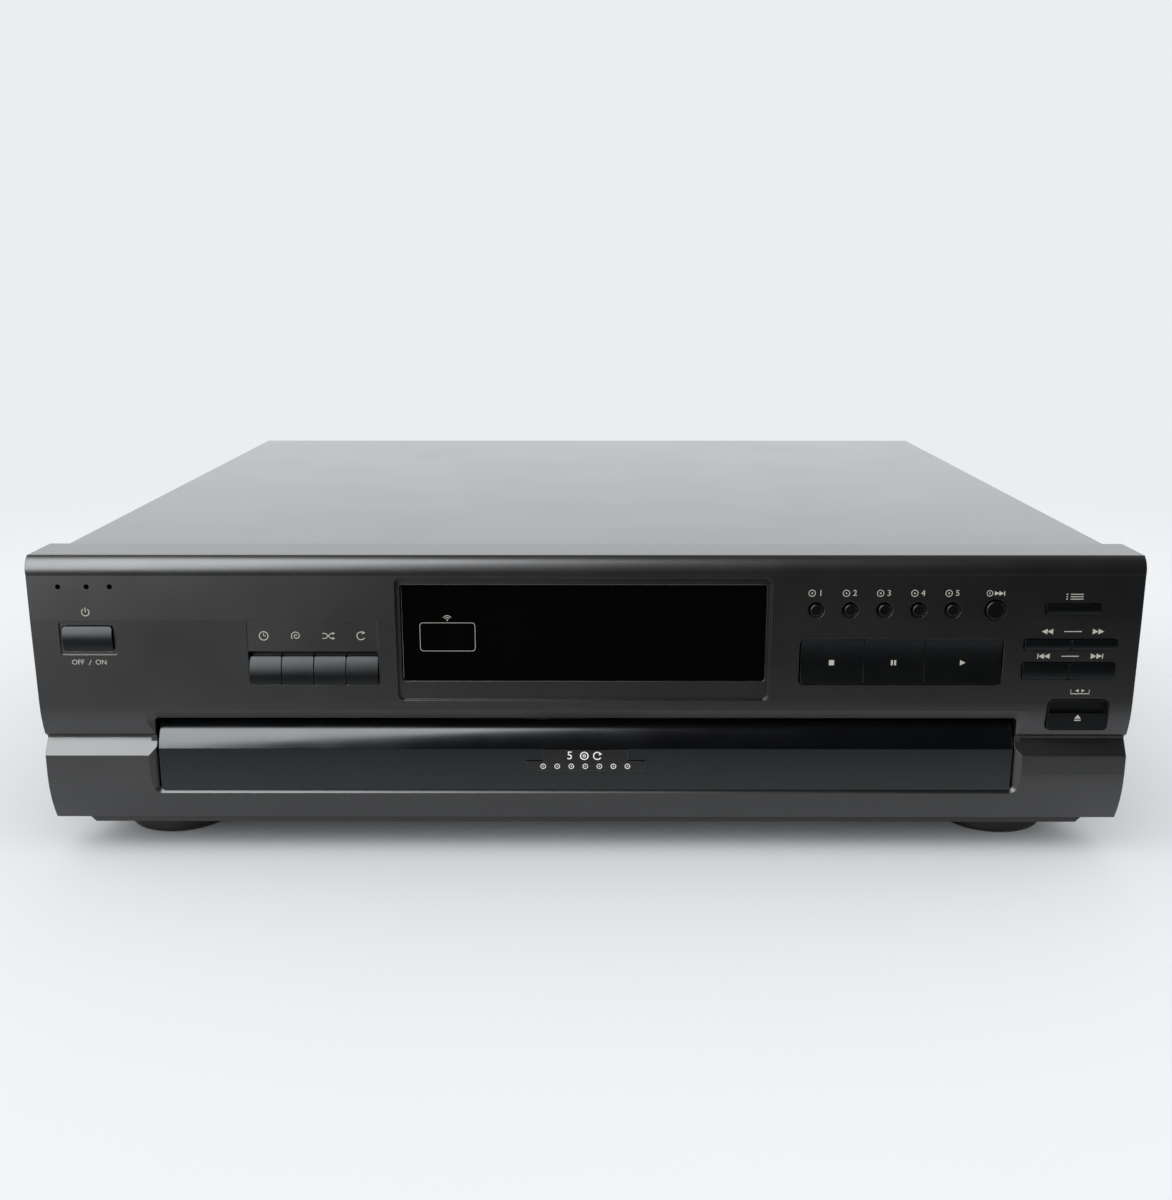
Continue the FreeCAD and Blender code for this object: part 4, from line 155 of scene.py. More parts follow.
class Finish:
    """A procedural material built step by step around one Principled shader."""

    def __init__(self, name, base, roughness, metallic=0.0, ior=1.5, specular=0.5, coat=0.0,
                 round_mm=0.0, shine=(1.0, 1.0, 1.0, 1.0)):
        self.material = bpy.data.materials.new(name)
        self.material.use_nodes = True
        self.tree = self.material.node_tree
        self.shader = self.tree.nodes["Principled BSDF"]
        self.tint = self.base = base
        self.gloss = self.roughness = roughness
        self.bumps = []
        self.shader.inputs["Metallic"].default_value = metallic
        self.shader.inputs["IOR"].default_value = ior
        self.shader.inputs["Specular IOR Level"].default_value = specular
        self.shader.inputs["Coat Weight"].default_value = coat
        self.shader.inputs["Specular Tint"].default_value = shine
        self.place = self.tree.nodes.new("ShaderNodeTexCoord").outputs["Object"]
        self.normal = self.rounded(round_mm) if round_mm else None

    def rounded(self, radius_mm):
        """Normal of the surface with its sharp edges rounded off."""
        node = self.tree.nodes.new("ShaderNodeBevel")
        node.samples = BEVEL_SAMPLES
        node.inputs["Radius"].default_value = radius_mm * MM
        return node.outputs["Normal"]

    def noise(self, size_mm, detail=3.0, stretch=(1.0, 1.0, 1.0), turn=(0.0, 0.0, 0.0)):
        """Noise with blotches about size_mm across, turned and drawn out by stretch along each axis."""
        space = self.tree.nodes.new("ShaderNodeMapping")
        space.vector_type = "TEXTURE"
        space.inputs["Scale"].default_value = stretch
        space.inputs["Rotation"].default_value = turn
        self.tree.links.new(self.place, space.inputs["Vector"])
        node = self.tree.nodes.new("ShaderNodeTexNoise")
        self.tree.links.new(space.outputs["Vector"], node.inputs["Vector"])
        node.inputs["Scale"].default_value = 1.0 / (size_mm * MM)
        node.inputs["Detail"].default_value = detail
        return node.outputs["Fac"]

    def mottle(self, amount, size_mm, stretch=(1.0, 1.0, 1.0)):
        """Lighter and darker patches in the colour."""
        value = mapped(self.tree, self.noise(size_mm, 4.0, stretch), *NOISE_LEVELS)
        self.tint = mixed(self.tree, value, scaled(self.base, 1 - amount), scaled(self.base, 1 + amount))
        return self

    def uneven_gloss(self, amount, size_mm, stretch=(1.0, 1.0, 1.0)):
        """Smoother and rougher patches, as handling and dust leave them."""
        value = self.noise(size_mm, 5.0, stretch)
        low, high = self.roughness - amount, self.roughness + amount
        self.gloss = mapped(self.tree, value, *NOISE_LEVELS, low, high)
        return self

    def smooth_top(self, roughness):
        """Faces that look straight up are smoother than the rest."""
        normal = self.tree.nodes.new("ShaderNodeNewGeometry").outputs["Normal"]
        upward = vector_maths(self.tree, "DOT_PRODUCT", normal, (0.0, 0.0, 1.0))
        self.gloss = mapped(self.tree, upward, *TOP_FACING, self.gloss, roughness)
        return self

    def grain(self, height_mm, size_mm, stretch=(1.0, 1.0, 1.0)):
        """Fine relief of the surface."""
        self.bumps.append((self.noise(size_mm, 2.0, stretch), height_mm * MM))
        return self

    def dent(self, place_mm, width_mm, depth_mm):
        """A soft round dent in the surface."""
        centre = [v * MM for v in place_mm]
        away = vector_maths(self.tree, "DISTANCE", self.place, centre)
        self.bumps.append((mapped(self.tree, away, 0.0, width_mm / 2 * MM, smooth=True), depth_mm * MM))
        return self

    def hairlines(self, strength, tint, axis, size_mm=0.3, length=60.0, angles=(0.5, -0.9)):
        """Sparse straight scratches, on a face that lies across the given axis (0, 1 or 2)."""
        tree, found = self.tree, None
        first, more = SCRATCHED_SIZE
        for i, angle in enumerate(angles):
            turn = [0.0, 0.0, 0.0]
            turn[axis] = angle
            streak = self.noise(size_mm, 0.0, (length, 1.0, 1.0), turn)
            here = mapped(tree, self.noise(size_mm * (first + more * i), 1.0), *SCRATCHED_LEVELS)
            line = maths(tree, "MULTIPLY", mapped(tree, streak, *STREAK_LEVELS), here)
            found = line if found is None else maths(tree, "MAXIMUM", found, line)
        self.tint = mixed(tree, maths(tree, "MULTIPLY", found, strength), self.tint, tint)
        return self

    def worn_edges(self, tint, width_mm=0.4, strength=0.4):
        """Edges rubbed a little lighter, in patches."""
        tree = self.tree
        flat = tree.nodes.new("ShaderNodeNewGeometry").outputs["Normal"]
        facing = vector_maths(tree, "DOT_PRODUCT", self.rounded(width_mm), flat)
        edge = mapped(tree, facing, *EDGE_FACING, 0.0, strength)
        patches = mapped(tree, self.noise(WEAR_PATCH, 4.0), *RAGGED_LEVELS)
        self.tint = mixed(tree, maths(tree, "MULTIPLY", edge, patches), self.tint, tint)
        return self

    def done(self):
        """Joins up what the steps have gathered, and returns the material."""
        tree, normal = self.tree, self.normal
        link_in(tree.links, self.tint, self.shader.inputs["Base Color"])
        link_in(tree.links, self.gloss, self.shader.inputs["Roughness"])
        for height, distance in self.bumps:
            node = tree.nodes.new("ShaderNodeBump")
            node.inputs["Distance"].default_value = distance
            tree.links.new(height, node.inputs["Height"])
            if normal is not None:
                tree.links.new(normal, node.inputs["Normal"])
            normal = node.outputs["Normal"]
        if normal is not None:
            tree.links.new(normal, self.shader.inputs["Normal"])
        return self.material


def moulded(name, base, roughness, grain_mm=0.006, **more):
    """Plain injection-moulded plastic."""
    finish = Finish(name, base, roughness, **more).mottle(0.08, 35.0).uneven_gloss(0.05, 12.0)
    return finish.grain(grain_mm, 0.5).done()


def metal(name, base, roughness, grain_size=1.2, stretch=(1.0, 1.0, 1.0)):
    finish = Finish(name, base, roughness, metallic=1.0).mottle(0.1, 18.0).uneven_gloss(0.08, 8.0)
    return finish.grain(0.004, grain_size, stretch).done()


def ink(name, base, specular=0.5):
    return Finish(name, base, 0.5, specular=specular).mottle(0.06, 3.0).uneven_gloss(0.05, 2.0).done()


PANEL_GREY = colour(7, 7, 7)
LID_GREY = colour(52, 52, 54)
DRAWER_BLACK = colour(4, 5, 7)
KEY_BLACK = colour(3, 4, 5)
BLUE_SHINE = (0.93, 0.975, 1.0, 1.0)
PRINT_GREY = colour(170, 167, 154)
PALE = colour(228, 226, 219)
LID_DENT = (208.5, 41.0, 124.3)         # mm, Y counted from the front panel's face


def panel_plastic():
    finish = Finish("panel_plastic", PANEL_GREY, 0.36, specular=0.88, round_mm=0.35).mottle(0.04, 60.0)
    finish.uneven_gloss(0.02, 30.0).smooth_top(0.2).grain(0.004, 0.35)
    finish.hairlines(0.05, colour(120, 120, 120), axis=1)
    return finish.worn_edges(colour(90, 92, 92), width_mm=0.4, strength=0.3).done()


def cover_paint():
    x, y, z = LID_DENT
    finish = Finish("cover_paint", LID_GREY, 0.2, ior=1.85, round_mm=0.4).mottle(0.015, 120.0)
    finish.uneven_gloss(0.012, 60.0).grain(0.002, 0.7)
    finish.dent((x, y + FRONT_Y / MM, z), width_mm=3.0, depth_mm=0.25)
    return finish.hairlines(0.1, colour(170, 172, 175), axis=2, size_mm=0.35, length=90.0).done()


def window_acrylic():
    finish = Finish("window_acrylic", colour(4, 4, 5), 0.06, specular=0.08).mottle(0.1, 30.0)
    return finish.uneven_gloss(0.03, 40.0).done()


def drawer_plastic():
    finish = Finish("drawer_plastic", DRAWER_BLACK, 0.2, specular=0.55, round_mm=0.35, shine=BLUE_SHINE)
    finish.mottle(0.05, 50.0).uneven_gloss(0.03, 20.0).grain(0.002, 0.6)
    finish.hairlines(0.08, colour(125, 130, 135), axis=1, size_mm=0.3, length=45.0)
    return finish.worn_edges(colour(80, 84, 88), width_mm=0.3, strength=0.4).done()


def button_plastic():
    finish = Finish("button_plastic", KEY_BLACK, 0.33, specular=0.35, round_mm=0.25, shine=BLUE_SHINE)
    finish.mottle(0.06, 12.0).uneven_gloss(0.02, 6.0).grain(0.0005, 0.4)
    return finish.worn_edges(colour(64, 68, 74), width_mm=0.25, strength=0.3).done()


def badge_plastic():
    finish = Finish("badge_plastic", colour(14, 14, 15), 0.22, round_mm=0.2)
    finish.mottle(0.08, 10.0).uneven_gloss(0.04, 6.0)
    return finish.worn_edges(colour(120, 120, 118), width_mm=0.25, strength=0.6).done()


def painted_steel(name, base):
    finish = Finish(name, base, 0.42, round_mm=0.3).mottle(0.06, 40.0).uneven_gloss(0.06, 15.0)
    finish.grain(0.005, 0.5)
    return finish.worn_edges(colour(96, 96, 98), width_mm=0.3, strength=0.4).done()


def carousel_plastic():
    finish = Finish("carousel_plastic", colour(36, 37, 40), 0.36, round_mm=0.3).mottle(0.06, 40.0)
    finish.uneven_gloss(0.06, 15.0).grain(0.008, 0.45)
    finish.hairlines(0.2, colour(110, 112, 115), axis=2, size_mm=0.3, length=40.0)
    return finish.worn_edges(colour(92, 94, 97), width_mm=0.4, strength=0.4).done()


def lens_clear():
    finish = Finish("lens_clear", colour(60, 70, 100), 0.05, coat=1.0).mottle(0.2, 1.5)
    return finish.uneven_gloss(0.02, 1.0).done()


def circuit_board(name, base):
    finish = Finish(name, base, 0.42).mottle(0.14, 7.0, (1.0, 0.5, 1.0)).uneven_gloss(0.08, 4.0)
    return finish.grain(0.015, 1.0).done()


def tube_glass():
    finish = Finish("tube_glass", colour(34, 44, 42), 0.08, coat=0.6).mottle(0.15, 9.0)
    return finish.uneven_gloss(0.03, 8.0).done()


def make_materials():
    return {
        "panel": panel_plastic(),
        "lid": cover_paint(),
        "window": window_acrylic(),
        "drawer": drawer_plastic(),
        "key": button_plastic(),
        "badge": badge_plastic(),
        "print": ink("print_ink", PRINT_GREY),
        "pale_print": ink("pale_ink", PALE),
        # painted shade: near-black ink for the shadow in the groove along the panel's top
        "groove": ink("groove_painted_shade", colour(11, 11, 11)),
        # painted shade: near-black ink for the insides of the pin holes
        "hole": ink("hole_painted_shade", colour(2, 2, 2), 0.0),
        # painted highlight: light ink for the stroke along the window's edge
        "glint": ink("painted_window_glint", colour(112, 116, 118)),
        "base_paint": painted_steel("base_paint", colour(26, 26, 27)),
        "back_paint": painted_steel("back_paint", colour(40, 40, 42)),
        "steel": metal("chassis_steel", colour(176, 178, 176), 0.38, 2.5),
        "bright_steel": metal("rod_steel", colour(205, 206, 206), 0.16, 0.6, (1.0, 10.0, 1.0)),
        "motor_steel": metal("motor_steel", colour(150, 152, 154), 0.3, 0.9),
        "screw": metal("screw_black", colour(46, 46, 48), 0.35, 0.8),
        "core": metal("core_steel", colour(96, 88, 82), 0.5, 0.7, (1.0, 0.2, 1.0)),
        "plating": metal("jack_plating", colour(214, 188, 120), 0.22, 0.5),
        "cast": metal("pickup_metal", colour(150, 150, 152), 0.42, 0.5),
        "foot": moulded("foot_plastic", colour(16, 16, 17), 0.45, 0.012, round_mm=0.5),
        "frame": moulded("frame_plastic", colour(38, 38, 40), 0.5, 0.02),
        "tray": moulded("tray_plastic", colour(30, 31, 33), 0.42, 0.01, round_mm=0.3),
        "nylon": moulded("gear_nylon", colour(216, 212, 200), 0.35, 0.006, round_mm=0.2),
        "deck": moulded("deck_plastic", colour(26, 27, 30), 0.5, 0.02),
        "rubber": moulded("belt_rubber", colour(12, 12, 12), 0.7, 0.01),
        "component": moulded("component_black", colour(24, 24, 25), 0.4, 0.008),
        "inlet": moulded("inlet_plastic", colour(20, 20, 21), 0.4, 0.006, round_mm=0.3),
        "carousel": carousel_plastic(),
        "lens": lens_clear(),
        "tube": tube_glass(),
        "tan_board": circuit_board("tan_board", colour(150, 116, 66)),
        "green_board": circuit_board("green_board", colour(24, 84, 48)),
    }


NODES_OF_FINISH = {
    "panel": ["front_panel"],
    "window": ["display_window"],
    "lid": ["top_cover"],
    "base_paint": ["bottom_chassis"],
    "back_paint": ["rear_panel"],
    "foot": ["feet"],
    "screw": ["case_screws"],
    "drawer": ["drawer_front"],
    "badge": ["drawer_badge"],
    "tray": ["drawer_tray", "carousel_cap"],
    "carousel": ["carousel", "carousel_ring_gear"],
    "motor_steel": ["carousel_motor", "loading_motor", "spindle_motor", "sled_motor"],
    "nylon": ["carousel_pinion", "tray_drive_gear", "belt_pulley", "motor_pulley", "lift_slider", "clamper"],
    "frame": ["mech_chassis"],
    "rubber": ["loading_belt"],
    "deck": ["traverse_deck", "turntable"],
    "bright_steel": ["guide_rods", "sled_screw"],
    "cast": ["optical_pickup"],
    "lens": ["objective_lens"],
    "steel": ["clamp_bridge"],
    "tan_board": ["front_board"],
    "green_board": ["main_board"],
    "tube": ["display_tube"],
    "component": ["key_switches", "board_parts"],
    "core": ["transformer"],
    "plating": ["output_jacks"],
    "inlet": ["ac_inlet"],
}
FINISH_OF = {node: finish for finish, nodes in NODES_OF_FINISH.items() for node in nodes}


def dress_nodes(materials):
    """Gives every CAD node its finish. What isn't named above is a key."""
    for name, obj in NODES.items():
        finish = materials[FINISH_OF.get(name, "key")]
        if not obj.data.materials:
            obj.data.materials.append(finish)
        for slot in obj.material_slots:
            slot.link = "OBJECT"
            slot.material = finish


# ---- Printed symbols, with a painted highlight and painted shade ---------------------------
INK = 0.05         # mm, how far the ink stands off the surface
THIN_INK = 0.01    # mm, the same where it lies on the very top of the object
INK_SUNK = 0.05    # mm, how far it reaches into it
LINE = 0.35        # mm, width of a drawn line, and of the bolder and finer ones
BOLD_LINE = 0.45
CROSS_LINE = 0.32
THIN_LINE = 0.3
FINE_LINE = 0.28
WAVE_LINE = 0.26
GLINT_LINE = 0.22
HAIR_LINE = 0.18
CAPITAL = 0.72     # height of the plain font's capitals and digits where its size is 1
EJECT_RISE = 0.62  # height of the flat triangle that points up where its width is 1
SIDES = {          # right, up and the way that the reader looks
    "front": (Vector((1, 0, 0)), Vector((0, 0, 1)), Vector((0, 1, 0))),
    "back": (Vector((-1, 0, 0)), Vector((0, 0, 1)), Vector((0, -1, 0))),
    "top": (Vector((1, 0, 0)), Vector((0, 1, 0)), Vector((0, 0, -1))),
}
SURFACES = {}


def surface(node):
    """Tree of a node's faces, to find where a straight look meets it."""
    if node not in SURFACES:
        obj = NODES[node]
        verts = [obj.matrix_world @ v.co for v in obj.data.vertices]
        SURFACES[node] = BVHTree.FromPolygons(verts, [tuple(p.vertices) for p in obj.data.polygons])
    return SURFACES[node]


class Print:
    """Flat shapes in millimetres on one side of a node, gathered into one thin piece."""

    def __init__(self, name, node, body, material, side="front"):
        self.name, self.node, self.body = name, node, body
        self.material = MATERIALS[material]
        self.right, self.up, self.look = SIDES[side]
        self.faces = []

    def on_surface(self, x, z):
        """The point of the node's surface under x, z of the sheet."""
        flat = (self.right * x + self.up * z) * MM
        place = surface(self.node).ray_cast(flat - self.look, self.look)[0]
        if place is None:
            raise RuntimeError("%s: %s isn't under %.1f, %.1f mm" % (self.name, self.node, x, z))
        return place

    def poly(self, points):
        self.faces.append(list(points))

    def bar(self, x0, x1, z0, z1):
        self.poly([(x0, z0), (x1, z0), (x1, z1), (x0, z1)])

    def stroke(self, points, width=LINE, closed=False):
        """Ribbon along a line of points."""
        n = len(points)
        edges = []
        for i, (x, z) in enumerate(points):
            before = points[i - 1] if i or closed else points[i]
            after = points[(i + 1) % n] if i < n - 1 or closed else points[i]
            dx, dz = after[0] - before[0], after[1] - before[1]
            size = math.hypot(dx, dz)
            side_x, side_z = -dz / size * width / 2, dx / size * width / 2
            edges.append(((x + side_x, z + side_z), (x - side_x, z - side_z)))
        for i in range(n if closed else n - 1):
            (a, b), (c, d) = edges[i], edges[(i + 1) % n]
            self.poly([b, d, c, a])

    def arc(self, x, z, r, start, end, width=LINE, steps=20):
        """Part of a ring, angles in degrees counted from the right towards up."""
        turn = [math.radians(start + (end - start) * i / steps) for i in range(steps + 1)]
        self.stroke([(x + r * math.cos(a), z + r * math.sin(a)) for a in turn], width)

    def ring(self, x, z, r, width=LINE, steps=32):
        turn = [2 * math.pi * i / steps for i in range(steps)]
        self.stroke([(x + r * math.cos(a), z + r * math.sin(a)) for a in turn], width, True)

    def dot(self, x, z, r, steps=20):
        turn = [2 * math.pi * i / steps for i in range(steps)]
        self.poly([(x + r * math.cos(a), z + r * math.sin(a)) for a in turn])

    def arrow(self, x, z, size, way=1):
        """Triangle pointing right, or left where way is -1."""
        half = size / 2
        self.poly([(x - way * half, z - half), (x + way * half, z), (x - way * half, z + half)][::way])

    def arrow_up(self, x, z, size):
        """Flat triangle pointing up, with its base at z."""
        self.poly([(x - size / 2, z), (x + size / 2, z), (x, z + size * EJECT_RISE)])

    def words(self, text, x, z, height):
        """Plain digits or letters centred on x, z."""
        data = bpy.data.curves.new("digits", "FONT")
        data.body = text
        data.size = height / CAPITAL
        data.align_x = "CENTER"
        data.align_y = "CENTER"
        obj = bpy.data.objects.new("digits", data)
        SCENE.collection.objects.link(obj)
        mesh = bpy.data.meshes.new_from_object(obj.evaluated_get(bpy.context.evaluated_depsgraph_get()))
        for face in mesh.polygons:
            self.poly([(x + mesh.vertices[i].co.x, z + mesh.vertices[i].co.y) for i in face.vertices])
        bpy.data.objects.remove(obj)
        bpy.data.curves.remove(data)

    def finish(self, rise=INK):
        """Makes the piece: each shape a thin slab, part of it sunk in the surface under it."""
        mesh = bpy.data.meshes.new(self.name)
        bm = bmesh.new()
        for points in self.faces:
            area = sum(a[0] * b[1] - b[0] * a[1] for a, b in zip(points, points[1:] + points[:1]))
            outline = [self.on_surface(x, z) for x, z in (points if area > 0 else points[::-1])]
            front = [bm.verts.new(place - self.look * rise * MM) for place in outline]
            back = [bm.verts.new(place + self.look * INK_SUNK * MM) for place in outline]
            bm.faces.new(front)
            bm.faces.new(back[::-1])
            for i in range(len(outline)):
                j = (i + 1) % len(outline)
                bm.faces.new((front[j], front[i], back[i], back[j]))
        bm.to_mesh(mesh)
        bm.free()
        mesh.materials.append(self.material)
        obj = bpy.data.objects.new(self.name, mesh)
        SCENE.collection.objects.link(obj)
        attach(obj, self.body)


def middle(node):
    """X and Z of a node's middle, in millimetres."""
    low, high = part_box(node)
    return (low.x + high.x) / 2 / MM, (low.z + high.z) / 2 / MM


# Sizes and places of the symbols, in mm.
DISCS = 5
WORD_SIZE = 2.05
DIGIT_SIZE = 2.4
BADGE_DIGIT_SIZE = 3.4
JACK_LETTER_SIZE = 3.2
POCKET_DIGIT_SIZE = 7.0
POWER_LABEL_Z = (103.1, 82.8)
OFF_X, ON_X = -4.7, 4.3                   # from the power button's middle
MODE_LABEL_Z = 93.6
SMALL_ARROW = 1.3
DISC_LABEL_Z = 110.8
DISC_HOLE = 0.26                          # of the disc's radius
TRANSPORT_Z = 82.7
TRANSPORT_SIZE = 2.4
SQUARE_SHARE, ARROW_SHARE = 0.85, 0.9     # of that size, so that each looks as large
PAUSE_GAP = 0.25                          # of the square's width
PROGRAM_LABEL_Z = 109.5
PROGRAM_ROW = 0.95
SEARCH_LABEL = (179.0, 198.7, 95.6)       # the two arrows' X, and Z
SKIP_LABEL = (178.5, 198.9, 85.6)
SEARCH_ARROW = 2.2
SEARCH_DASH = 6.8
SKIP_LINE, SKIP_LINE_AWAY = 0.36, 2.4     # width, and how far from the arrows' middle
OPEN_LABEL_Z = 71.2
EJECT_Z = 59.0
BADGE_ROWS = (43.9, 39.5)
BADGE_PLACES = (-6.2, -0.4, 4.8)          # X of the digit, the disc and the arrow
BADGE_R = 1.5
BADGE_DISCS, BADGE_DISC_STEP, BADGE_DISC_R = 7, 5.6, 0.95
SENSOR_BOX = (-64.6, -43.1, 86.5, 97.9)
SENSOR_CORNER_R = 1.2
SENSOR_WAVES_RISE = 1.1
PIN_HOLES = ((-203.0, 113.2), (-192.0, 113.2), (-183.1, 113.2))
PIN_HOLE_R = 1.0
TOP_GROOVE_BACK = 3.9                     # from the panel's face back to the groove along its top
TOP_GROOVE_WIDTH = 0.35
TOP_GROOVE_END = 0.6
WINDOW_EDGE = (-71.45, 69.95, 75.25, 113.25)
JACK_LABEL_RISE = 9.0
JACK_LABEL_IN = 5.0
INLET_LABEL_RISE = 14.0
POCKET_DIGIT_R = 33.0


def power_symbol(sheet, x, z, r=1.45, stem=1.9):
    """A ring that is open at the top, with a stem in the gap."""
    sheet.arc(x, z, r, 125, 415)
    sheet.stroke([(x, z), (x, z + stem)])


def power_labels():
    x = middle("power_button")[0]
    sheet = Print("power_symbols", "front_panel", "case", "print")
    top, low = POWER_LABEL_Z
    power_symbol(sheet, x, top)
    sheet.words("OFF", x + OFF_X, low, WORD_SIZE)
    sheet.stroke([(x - 0.5, low - 1.0), (x + 0.5, low + 1.0)], FINE_LINE)
    sheet.words("ON", x + ON_X, low, WORD_SIZE)
    sheet.finish()


def clock_symbol(sheet, x, z, r=1.7, long_hand=1.15, short_hand=0.85):
    sheet.ring(x, z, r)
    sheet.stroke([(x, z + long_hand), (x, z), (x + short_hand, z)], THIN_LINE)


def spiral_symbol(sheet, x, z, start=0.2, growth=0.17, sweep=600, step=20):
    turns = [math.radians(a) for a in range(0, sweep, step)]
    reach = [start + growth * a for a in turns]
    sheet.stroke([(x + r * math.cos(a), z + r * math.sin(a)) for a, r in zip(turns, reach)], THIN_LINE)


def shuffle_symbol(sheet, x, z):
    """Two lines that change places, each with an arrow at its end."""
    for s in (-1, 1):
        sheet.stroke([(x - 2.4, z - s), (x - 1.1, z - s), (x + 0.9, z + s), (x + 1.5, z + s)], CROSS_LINE)
        sheet.arrow(x + 2.0, z + s, 1.1)


def repeat_symbol(sheet, x, z, r, start, tip, width=LINE):
    """An open ring with an arrow at its upper end, which is tip away from its middle."""
    sheet.arc(x, z, r, start, 330, width)
    sheet.arrow(x + tip[0], z + tip[1], SMALL_ARROW)


def mode_labels():
    """Clock, spiral, shuffle and repeat."""
    sheet = Print("mode_symbols", "front_panel", "case", "print")
    clock, spiral, cross, loop = [middle("mode_button_%d" % i)[0] for i in (1, 2, 3, 4)]
    clock_symbol(sheet, clock, MODE_LABEL_Z)
    spiral_symbol(sheet, spiral, MODE_LABEL_Z)
    shuffle_symbol(sheet, cross, MODE_LABEL_Z)
    repeat_symbol(sheet, loop, MODE_LABEL_Z, r=1.55, start=60, tip=(1.05, 1.3))
    sheet.finish()


def disc_symbol(sheet, x, z, r=1.1):
    sheet.ring(x, z, r, FINE_LINE)
    sheet.dot(x, z, r * DISC_HOLE)


def next_disc_symbol(sheet, x, z, size=1.8):
    """A disc, and two arrows that point at a line."""
    disc_symbol(sheet, x - 2.6, z)
    sheet.arrow(x + 0.2, z, size)
    sheet.arrow(x + 1.9, z, size)
    sheet.bar(x + 2.9, x + 2.9 + LINE, z - size / 2, z + size / 2)


def disc_labels():
    sheet = Print("disc_numbers", "front_panel", "case", "print")
    for i in range(1, DISCS + 1):
        x = middle("disc_button_%d" % i)[0]
        disc_symbol(sheet, x - 1.8, DISC_LABEL_Z, r=1.25)
        sheet.words(str(i), x + 1.5, DISC_LABEL_Z, DIGIT_SIZE)
    next_disc_symbol(sheet, middle("disc_skip_button")[0], DISC_LABEL_Z)
    sheet.finish()


def double_arrow(sheet, x, z, way):
    for side in (-1, 1):
        sheet.arrow(x + side * SEARCH_ARROW / 2, z, SEARCH_ARROW, way)


def search_and_skip_labels():
    """Two arrows each way with a dash between them. Those of the skip keys point at a line."""
    sheet = Print("search_skip_symbols", "front_panel", "case", "print")
    for (back, forward, z), lined in ((SEARCH_LABEL, False), (SKIP_LABEL, True)):
        for x, way in ((back, -1), (forward, 1)):
            double_arrow(sheet, x, z, way)
            if lined:
                line = x + way * SKIP_LINE_AWAY
                sheet.bar(line - SKIP_LINE / 2, line + SKIP_LINE / 2, z - 1.0, z + 1.0)
        centre = (back + forward) / 2
        sheet.bar(centre - SEARCH_DASH / 2, centre + SEARCH_DASH / 2, z - CROSS_LINE / 2, z + CROSS_LINE / 2)
    sheet.finish()


def program_label():
    """A list of three rows."""
    x = middle("program_button")[0]
    sheet = Print("program_symbol", "front_panel", "case", "print")
    for row in (-1, 0, 1):
        z = PROGRAM_LABEL_Z + row * PROGRAM_ROW
        sheet.bar(x - 1.6, x + 3.4, z - CROSS_LINE / 2, z + CROSS_LINE / 2)
        sheet.bar(x - 3.2, x - 2.6, z - 0.2, z + 0.2)
    sheet.finish()


def tray_label(x, z=OPEN_LABEL_Z, half=3.6, rim=0.6, bed=1.0):
    """A tray seen from the front, with an arrow each way above it."""
    sheet = Print("tray_symbol", "front_panel", "case", "print")
    ends = [(x - half, z + rim), (x - half, z - bed), (x + half, z - bed), (x + half, z + rim)]
    sheet.stroke(ends, CROSS_LINE)
    for way in (1, -1):
        sheet.arrow(x + way * 1.2, z + 0.25, SMALL_ARROW, way)
    sheet.finish()


def eject_label(x, z=EJECT_Z, width=2.6, bar=0.45):
    """A triangle that points up from a bar."""
    sheet = Print("eject_symbol", "open_close_button", "open_close_button", "print")
    sheet.arrow_up(x, z + 2 * bar, width)
    sheet.bar(x - width / 2, x + width / 2, z, z + bar)
    sheet.finish()


def open_labels():
    x = middle("open_close_button")[0]
    tray_label(x)
    eject_label(x)


def transport_labels():
    half, z = TRANSPORT_SIZE / 2 * SQUARE_SHARE, TRANSPORT_Z
    for node in ("stop_button", "pause_button", "play_button"):
        x = middle(node)[0]
        sheet = Print(node.replace("_button", "_symbol"), node, node, "print")
        if node == "stop_button":
            sheet.bar(x - half, x + half, z - half, z + half)
        elif node == "pause_button":
            sheet.bar(x - half, x - half * PAUSE_GAP, z - half, z + half)
            sheet.bar(x + half * PAUSE_GAP, x + half, z - half, z + half)
        else:
            sheet.arrow(x, z, TRANSPORT_SIZE * ARROW_SHARE)
        sheet.finish()


def badge_print():
    """The number of discs, a disc and a repeat arrow over a row of small discs."""
    sheet = Print("badge_symbols", "drawer_badge", "drawer", "pale_print")
    top, low = BADGE_ROWS
    digit, disc, loop = BADGE_PLACES
    sheet.words(str(DISCS), digit, top, BADGE_DIGIT_SIZE)
    sheet.ring(disc, top, BADGE_R, BOLD_LINE)
    sheet.ring(disc, top, BADGE_R / 3, THIN_LINE)
    repeat_symbol(sheet, loop, top, BADGE_R, start=40, tip=(1.3, 0.75), width=BOLD_LINE)
    for i in range(BADGE_DISCS):
        disc_symbol(sheet, (i - (BADGE_DISCS - 1) / 2) * BADGE_DISC_STEP, low, BADGE_DISC_R)
    sheet.finish()


def rounded_box(x0, x1, z0, z1, r, steps=4):
    """Points around a box with round corners."""
    corners = ((x1 - r, z1 - r, 0), (x0 + r, z1 - r, 90), (x0 + r, z0 + r, 180), (x1 - r, z0 + r, 270))
    points = []
    for x, z, start in corners:
        for i in range(steps + 1):
            a = math.radians(start + 90 * i / steps)
            points.append((x + r * math.cos(a), z + r * math.sin(a)))
    return points


def sensor_marks():
    """Outline of the remote control's window, and the waves that reach it."""
    sheet = Print("sensor_outline", "display_window", "case", "print")
    x0, x1, z0, z1 = SENSOR_BOX
    sheet.stroke(rounded_box(x0, x1, z0, z1, SENSOR_CORNER_R), HAIR_LINE, True)
    x, z = (x0 + x1) / 2, z1 + SENSOR_WAVES_RISE
    sheet.dot(x, z, 0.3)
    for reach in (1.0, 1.8):
        sheet.arc(x, z, reach, 35, 145, WAVE_LINE)
    sheet.finish()


